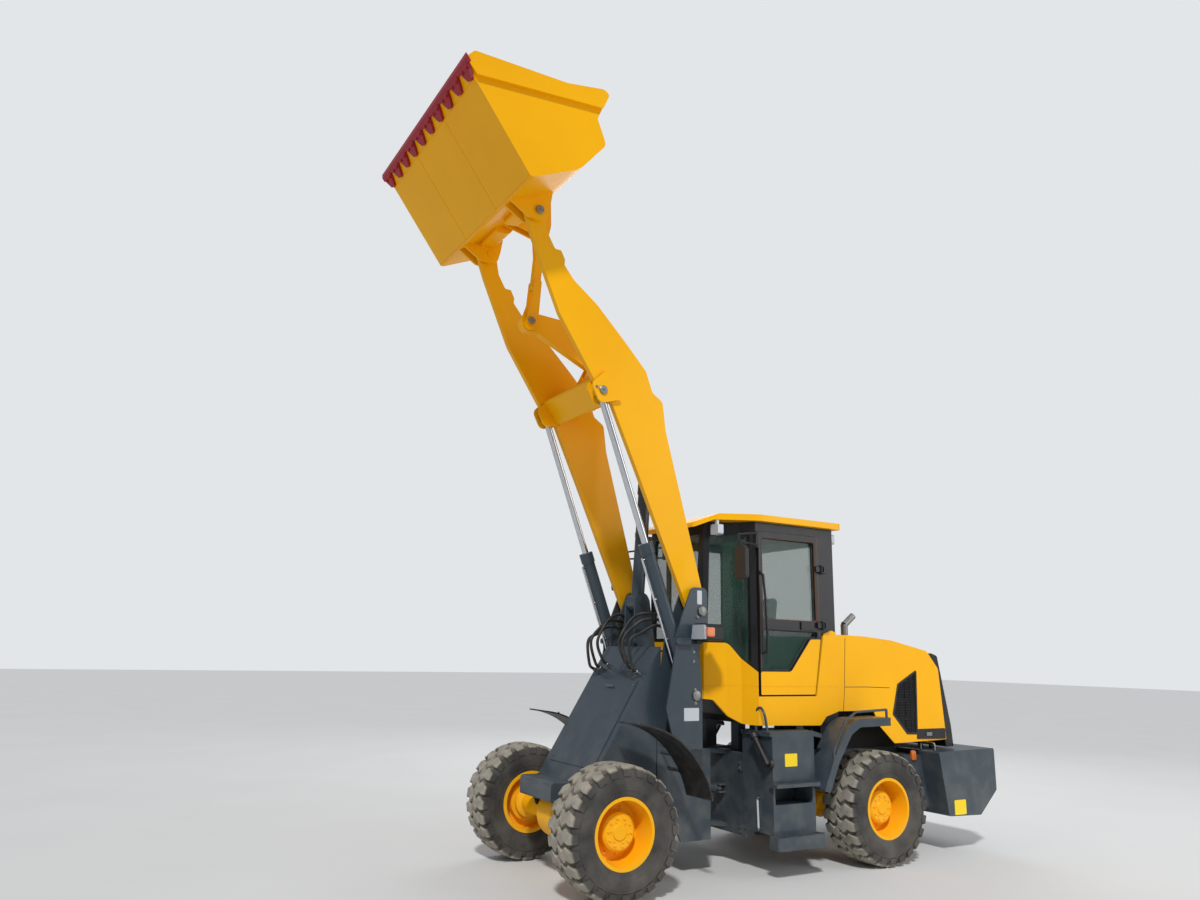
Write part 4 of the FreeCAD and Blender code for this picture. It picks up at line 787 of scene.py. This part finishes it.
def platform_fittings():
    """Filler neck with its cap, level glass, hoop rail, hinge plates and blank labels."""
    neck = tube([Vector((-0.062, 0.845, 0.870)), Vector((-0.062, 0.695, 1.062))], 0.030, 18)
    cap = lathe((-0.062, 0.695, 1.062), (0, -0.61, 0.79), [(0, 0.038), (0.034, 0.040), (0.040, 0.034)], 24)
    mouth = lathe((-0.085, 0.835, 0.882), (-1, 0, 0), [(-0.01, 0.036), (0.026, 0.036)], 20)
    shown("filler_neck", [neck, mouth], "black", "rear_frame")
    shown("filler_cap", [cap], "dark_plastic", "rear_frame")
    level = tube([Vector((-0.098, 0.676, 0.365)), Vector((-0.098, 0.668, 0.590))], 0.009, 12)
    ends = [lathe((-0.111, 0.676, z), (1, 0, 0), [(0, 0.013), (0.020, 0.013), (0.024, 0.009)], 14)
            for z in (0.358, 0.596)]
    shown("level_glass", [level], "plate", "rear_frame")
    shown("level_fittings", ends, "steel", "rear_frame")
    hoop = [(0.663, 1.112), (0.664, 1.235), (0.685, 1.295), (0.735, 1.303), (0.778, 1.240), (0.804, 1.112)]
    hoop = smooth_line([(-0.100, y, z) for y, z in hoop])
    shown("step_hoops", both(tube(hoop, 0.011)), "slate", "rear_frame")
    hinges, domes = [], []
    for low, high in ((0.772, 0.862), (0.275, 0.358)):
        hinges += both(block((-0.1305, 0.392, low), (-0.120, 0.462, high), 0.002))
        for z in (low + 0.022, high - 0.022):
            dome = [(0, 0.013), (0.006, 0.012), (0.010, 0.006)]
            domes += both(lathe((-0.120, 0.412, z), (1, 0, 0), dome, 16))
    shown("post_hinges", hinges, "slate", "rear_frame")
    shown("post_bolts", domes, "steel", "rear_frame")
    tank = rounded([(-0.372, 0.850), (-0.240, 0.850), (-0.240, 0.950), (-0.372, 0.950)], 0.008)
    weight = rounded([(-2.458, 0.338), (-2.300, 0.338), (-2.300, 0.466), (-2.458, 0.466)], 0.012)
    labels = both(slab(tank, SIDE, 0.0015, 0.850, 0.0004)) + both(slab(weight, SIDE, 0.0015, 0.820, 0.0004))
    shown("blank_labels", labels, "label", "rear_frame")


def counterweight_fittings():
    """Side lamps, grab hoops and tail lamps."""
    amber = rounded([(-2.060, 0.806), (-2.000, 0.806), (-2.000, 0.892), (-2.060, 0.892)], 0.02)
    shown("side_lamps", both(slab(amber, SIDE, 0.020, 0.600, 0.004)), "amber", "rear_frame")
    grab = [(0.600, 0.902), (0.602, 0.950), (0.625, 0.968), (0.735, 0.968), (0.758, 0.950), (0.760, 0.902)]
    grab = smooth_line([(-2.150, y, z) for y, z in grab])
    shown("grab_hoops", both(tube(grab, 0.009)), "steel", "rear_frame")
    lamps = both(lathe((-2.909, 0.640, 0.800), (-1, 0, 0), [(0, 0.055), (0.016, 0.053), (0.022, 0.040)], 28))
    shown("tail_lamps", lamps, "tail", "rear_frame")


WIRE_PITCH = 0.0235
WIRE_R = 0.0035


def hood_fittings():
    """Seams, wire mesh in the side vents, corner panels and latches."""
    seams = []
    for points in ([(-1.105, 1.262), (-1.129, 1.450), (-1.158, 1.900)],
                   [(-1.135, 1.470), (-1.400, 1.470), (-1.700, 1.462)]):
        line = [Vector((x, 0.6605, z)) for x, z in points]
        seams += both(tube(line, 0.0025, 6))
    shown("hood_seams", seams, "rubber", "hood")
    wires = []
    vent = [(-2.055, 1.600), (-1.822, 1.484), (-1.745, 1.230), (-1.910, 1.066), (-2.030, 1.062)]
    for k in range(22):
        z = 1.080 + WIRE_PITCH * k
        span = crossing(vent, z)
        if span:
            wires.append(tube([Vector((x, 0.657, z)) for x in span], WIRE_R, 6))
    flipped = [(z, x) for x, z in vent]
    for k in range(14):
        x = -2.045 + WIRE_PITCH * k
        span = crossing(flipped, x)
        if span:
            wires.append(tube([Vector((x, 0.661, z)) for z in span], WIRE_R, 6))
    shown("vent_mesh", [s for w in wires for s in both(w)], "black", "hood")
    corner = rounded([(-2.430, 0.992), (-2.030, 1.000), (-2.045, 1.088), (-2.425, 1.088)], 0.012)
    shown("hood_corner_panels", both(slab(corner, SIDE, 0.006, HOOD_FACE, 0.002)), "black", "hood")
    latches = both(block((-2.235, 0.664, 1.020), (-2.150, 0.672, 1.062), 0.004))
    shown("hood_latches", latches, "steel", "hood")


def crossing(outline, level):
    """Where a convex outline of (across, level) points crosses a level, as (low, high)."""
    found = []
    for i, (a, b) in enumerate(outline):
        c, d = outline[(i + 1) % len(outline)]
        if (b - level) * (d - level) < 0:
            found.append(a + (c - a) * (level - b) / (d - b))
    return (min(found), max(found)) if len(found) == 2 else None


# Cab

def loop(points, radius, thickness, place):
    """A closed bead round a window; place turns a drawing's point into one in space."""
    line = [place(p.x, p.y) for p in rounded(points, radius)]
    return tube(line + [line[0]], thickness, 8)


def seals():
    """Rubber seals round the panes and bronze trim round the door's frame."""
    upper = [(-0.170, 2.035), (-0.785, 2.030), (-0.780, 2.735), (-0.170, 2.735)]
    lower = [(-0.170, 1.610), (-0.475, 1.610), (-0.700, 1.886), (-0.785, 1.890), (-0.785, 1.940),
             (-0.170, 1.950)]
    door = [loop(points, 0.03, 0.008, lambda x, z: Vector((x, 0.6635, z))) for points in (upper, lower)]
    shown("door_seals", door, "rubber", "door")
    frame_line = [(-0.142, 1.62), (-0.142, 2.770), (-0.812, 2.770), (-0.812, 1.905)]
    trims = [tube([Vector((x, DOOR_FACE, z)) for x, z in frame_line], 0.007, 8),
             loop(upper, 0.03, 0.005, lambda x, z: Vector((x, DOOR_FACE, z))),
             tube([Vector((-0.165, DOOR_FACE, 1.985)), Vector((-0.790, DOOR_FACE, 1.982))], 0.006, 8)]
    shown("door_trim", trims, "trim", "door")
    right = [(-0.150, 1.610), (-0.475, 1.610), (-0.711, 1.886), (-0.790, 1.890), (-0.790, 2.755),
             (-0.150, 2.755)]
    rear = [(-0.56, 1.96), (0.56, 1.96), (0.56, 2.74), (-0.56, 2.74)]
    panes = [loop(right, 0.03, 0.008, lambda x, z: Vector((x, -0.664, z))),
             loop(rear, 0.03, 0.008, lambda y, z: Vector((-1.004, y, z)))]
    shown("window_seals", panes, "rubber", "rear_frame")


def seat_cushions():
    """Crowned cushion and back with rounded edges."""
    forms = [("seat_cushion", (-0.640, -0.245, 1.500), (-0.150, 0.245, 1.612), 0.045),
             ("seat_back", (-0.700, -0.235, 1.640), (-0.560, 0.235, 2.245), 0.05)]
    for name, low, high, edge in forms:
        obj = shown(name, [block(low, high, edge)], "seat_fabric", "rear_frame")
        crown = obj.modifiers.new("round", "SUBSURF")
        crown.levels = crown.render_levels = 2


def cab_inside():
    """Instrument hood, side console, headliner, and levers with knobs."""
    dash = block((-0.010, -0.170, 1.770), (0.110, 0.170, 1.930), 0.03)
    console = block((-0.560, -0.520, 1.215), (-0.060, -0.300, 1.700), 0.03)
    lining = block((-0.960, -0.560, 2.820), (0.060, 0.450, 2.836), 0.004)
    shown("instrument_hood", [dash, console, lining], "dark_plastic", "rear_frame")
    levers = []
    knob = [(0, 0.012), (0.012, 0.021), (0.03, 0.021), (0.042, 0.010)]
    for x in (-0.22, -0.30, -0.38):
        levers.append(tube([Vector((x, -0.41, 1.695)), Vector((x + 0.02, -0.40, 1.83))], 0.007))
        levers.append(lathe((x + 0.02, -0.40, 1.825), (0, 0, 1), knob, 18))
    shown("levers", levers, "black", "rear_frame")


def wiper():
    """Wiper across the windscreen."""
    arm = [Vector((0.262, 0.02, 2.790)), Vector((0.272, 0.10, 2.600)), Vector((0.288, 0.20, 2.380))]
    arm = tube(arm, 0.006)
    blade = tube([Vector((0.265, 0.19, 2.640)), Vector((0.296, 0.21, 2.120))], 0.008)
    shown("wiper", [arm, blade], "black", "rear_frame")


# Floor, lights and camera

def floor():
    mesh = bpy.data.meshes.new("floor")
    corners = [(x * FLOOR_REACH, y * FLOOR_REACH, FLOOR_LEVEL)
               for x, y in ((-1, -1), (1, -1), (1, 1), (-1, 1))]
    mesh.from_pydata(corners, [], [(0, 1, 2, 3)])
    obj = bpy.data.objects.new("floor", mesh)
    bpy.context.scene.collection.objects.link(obj)
    material, nodes, links = new_material("floor_finish")
    shader = nodes["Principled BSDF"]
    grain = noise(nodes, links, 0.8, 6.0)
    base = linear(FLOOR)
    tone = ramp(nodes, links, grain, [(0.3, shaded(base, 0.97)), (0.7, base)])
    links.new(tone, shader.inputs["Base Color"])
    shader.inputs["Roughness"].default_value = 0.8
    obj.data.materials.append(material)


def area_lamp(name, place, target, size, power):
    data = bpy.data.lights.new(name, "AREA")
    data.size = size
    data.energy = power
    obj = bpy.data.objects.new(name, data)
    obj.location = place
    obj.rotation_euler = (Vector(target) - Vector(place)).to_track_quat("-Z", "Y").to_euler()
    bpy.context.scene.collection.objects.link(obj)


def sun_lamp(name, direction, strength, angle):
    data = bpy.data.lights.new(name, "SUN")
    data.energy = strength
    data.angle = math.radians(angle)
    obj = bpy.data.objects.new(name, data)
    obj.rotation_euler = Vector(direction).to_track_quat("-Z", "Y").to_euler()
    bpy.context.scene.collection.objects.link(obj)


def world():
    """Plain pale surround: nearly white to the camera and through glass, softer as a light."""
    surround = bpy.data.worlds.new("surround")
    bpy.context.scene.world = surround
    surround.use_nodes = True
    nodes, links = surround.node_tree.nodes, surround.node_tree.links
    nodes.clear()
    output = nodes.new("ShaderNodeOutputWorld")
    backdrop = nodes.new("ShaderNodeBackground")
    backdrop.inputs["Color"].default_value = linear(SURROUND)
    backdrop.inputs["Strength"].default_value = SURROUND_SEEN
    light = nodes.new("ShaderNodeBackground")
    light.inputs["Color"].default_value = linear(SKYLIGHT)
    light.inputs["Strength"].default_value = SURROUND_LIGHT
    path = nodes.new("ShaderNodeLightPath")
    seen = nodes.new("ShaderNodeMath")
    seen.operation = "MAXIMUM"
    links.new(path.outputs["Is Camera Ray"], seen.inputs[0])
    links.new(path.outputs["Is Transmission Ray"], seen.inputs[1])
    choose = nodes.new("ShaderNodeMixShader")
    links.new(seen.outputs["Value"], choose.inputs["Fac"])
    links.new(light.outputs["Background"], choose.inputs[1])
    links.new(backdrop.outputs["Background"], choose.inputs[2])
    links.new(choose.outputs["Shader"], output.inputs["Surface"])


def camera():
    data = bpy.data.cameras.new("view")
    data.lens = LENS
    data.sensor_width = 36.0
    data.clip_end = 200.0
    obj = bpy.data.objects.new("view", data)
    bpy.context.scene.collection.objects.link(obj)
    heading, pitch, roll = (math.radians(a) for a in (CAMERA_HEADING, CAMERA_PITCH, CAMERA_ROLL))
    ahead = Vector((-math.sin(heading), -math.cos(heading), 0))
    right = Vector((-math.cos(heading), math.sin(heading), 0))
    forward = ahead * math.cos(pitch) + Vector((0, 0, math.sin(pitch)))
    up = right.cross(forward)
    turned_right = right * math.cos(roll) + up * math.sin(roll)
    turned_up = up * math.cos(roll) - right * math.sin(roll)
    turn = Matrix((turned_right, turned_up, -forward)).transposed()
    obj.matrix_world = Matrix.Translation(CAMERA_AT) @ turn.to_4x4()
    bpy.context.scene.camera = obj


for make in (tyres, wheel_bolts, tower_fittings, nose_fittings, hoses, fender_bolts, lamp_fittings,
             boom_fittings, bucket_fittings, step_teeth, platform_fittings, counterweight_fittings,
             hood_fittings, seals, seat_cushions, cab_inside, wiper):
    make()

floor()
world()
sun_lamp("key", (-0.55, -0.75, -0.95), SUN_STRENGTH, SUN_SPREAD)
area_lamp("fill", (-7.0, 8.0, 5.0), (0, 0, 2.0), FILL_SIZE, FILL_POWER)
area_lamp("rear_fill", (-6.0, -7.0, 7.0), (0, 0, 2.5), FILL_SIZE, FILL_POWER)
camera()
bpy.context.scene.view_settings.view_transform = "Standard"
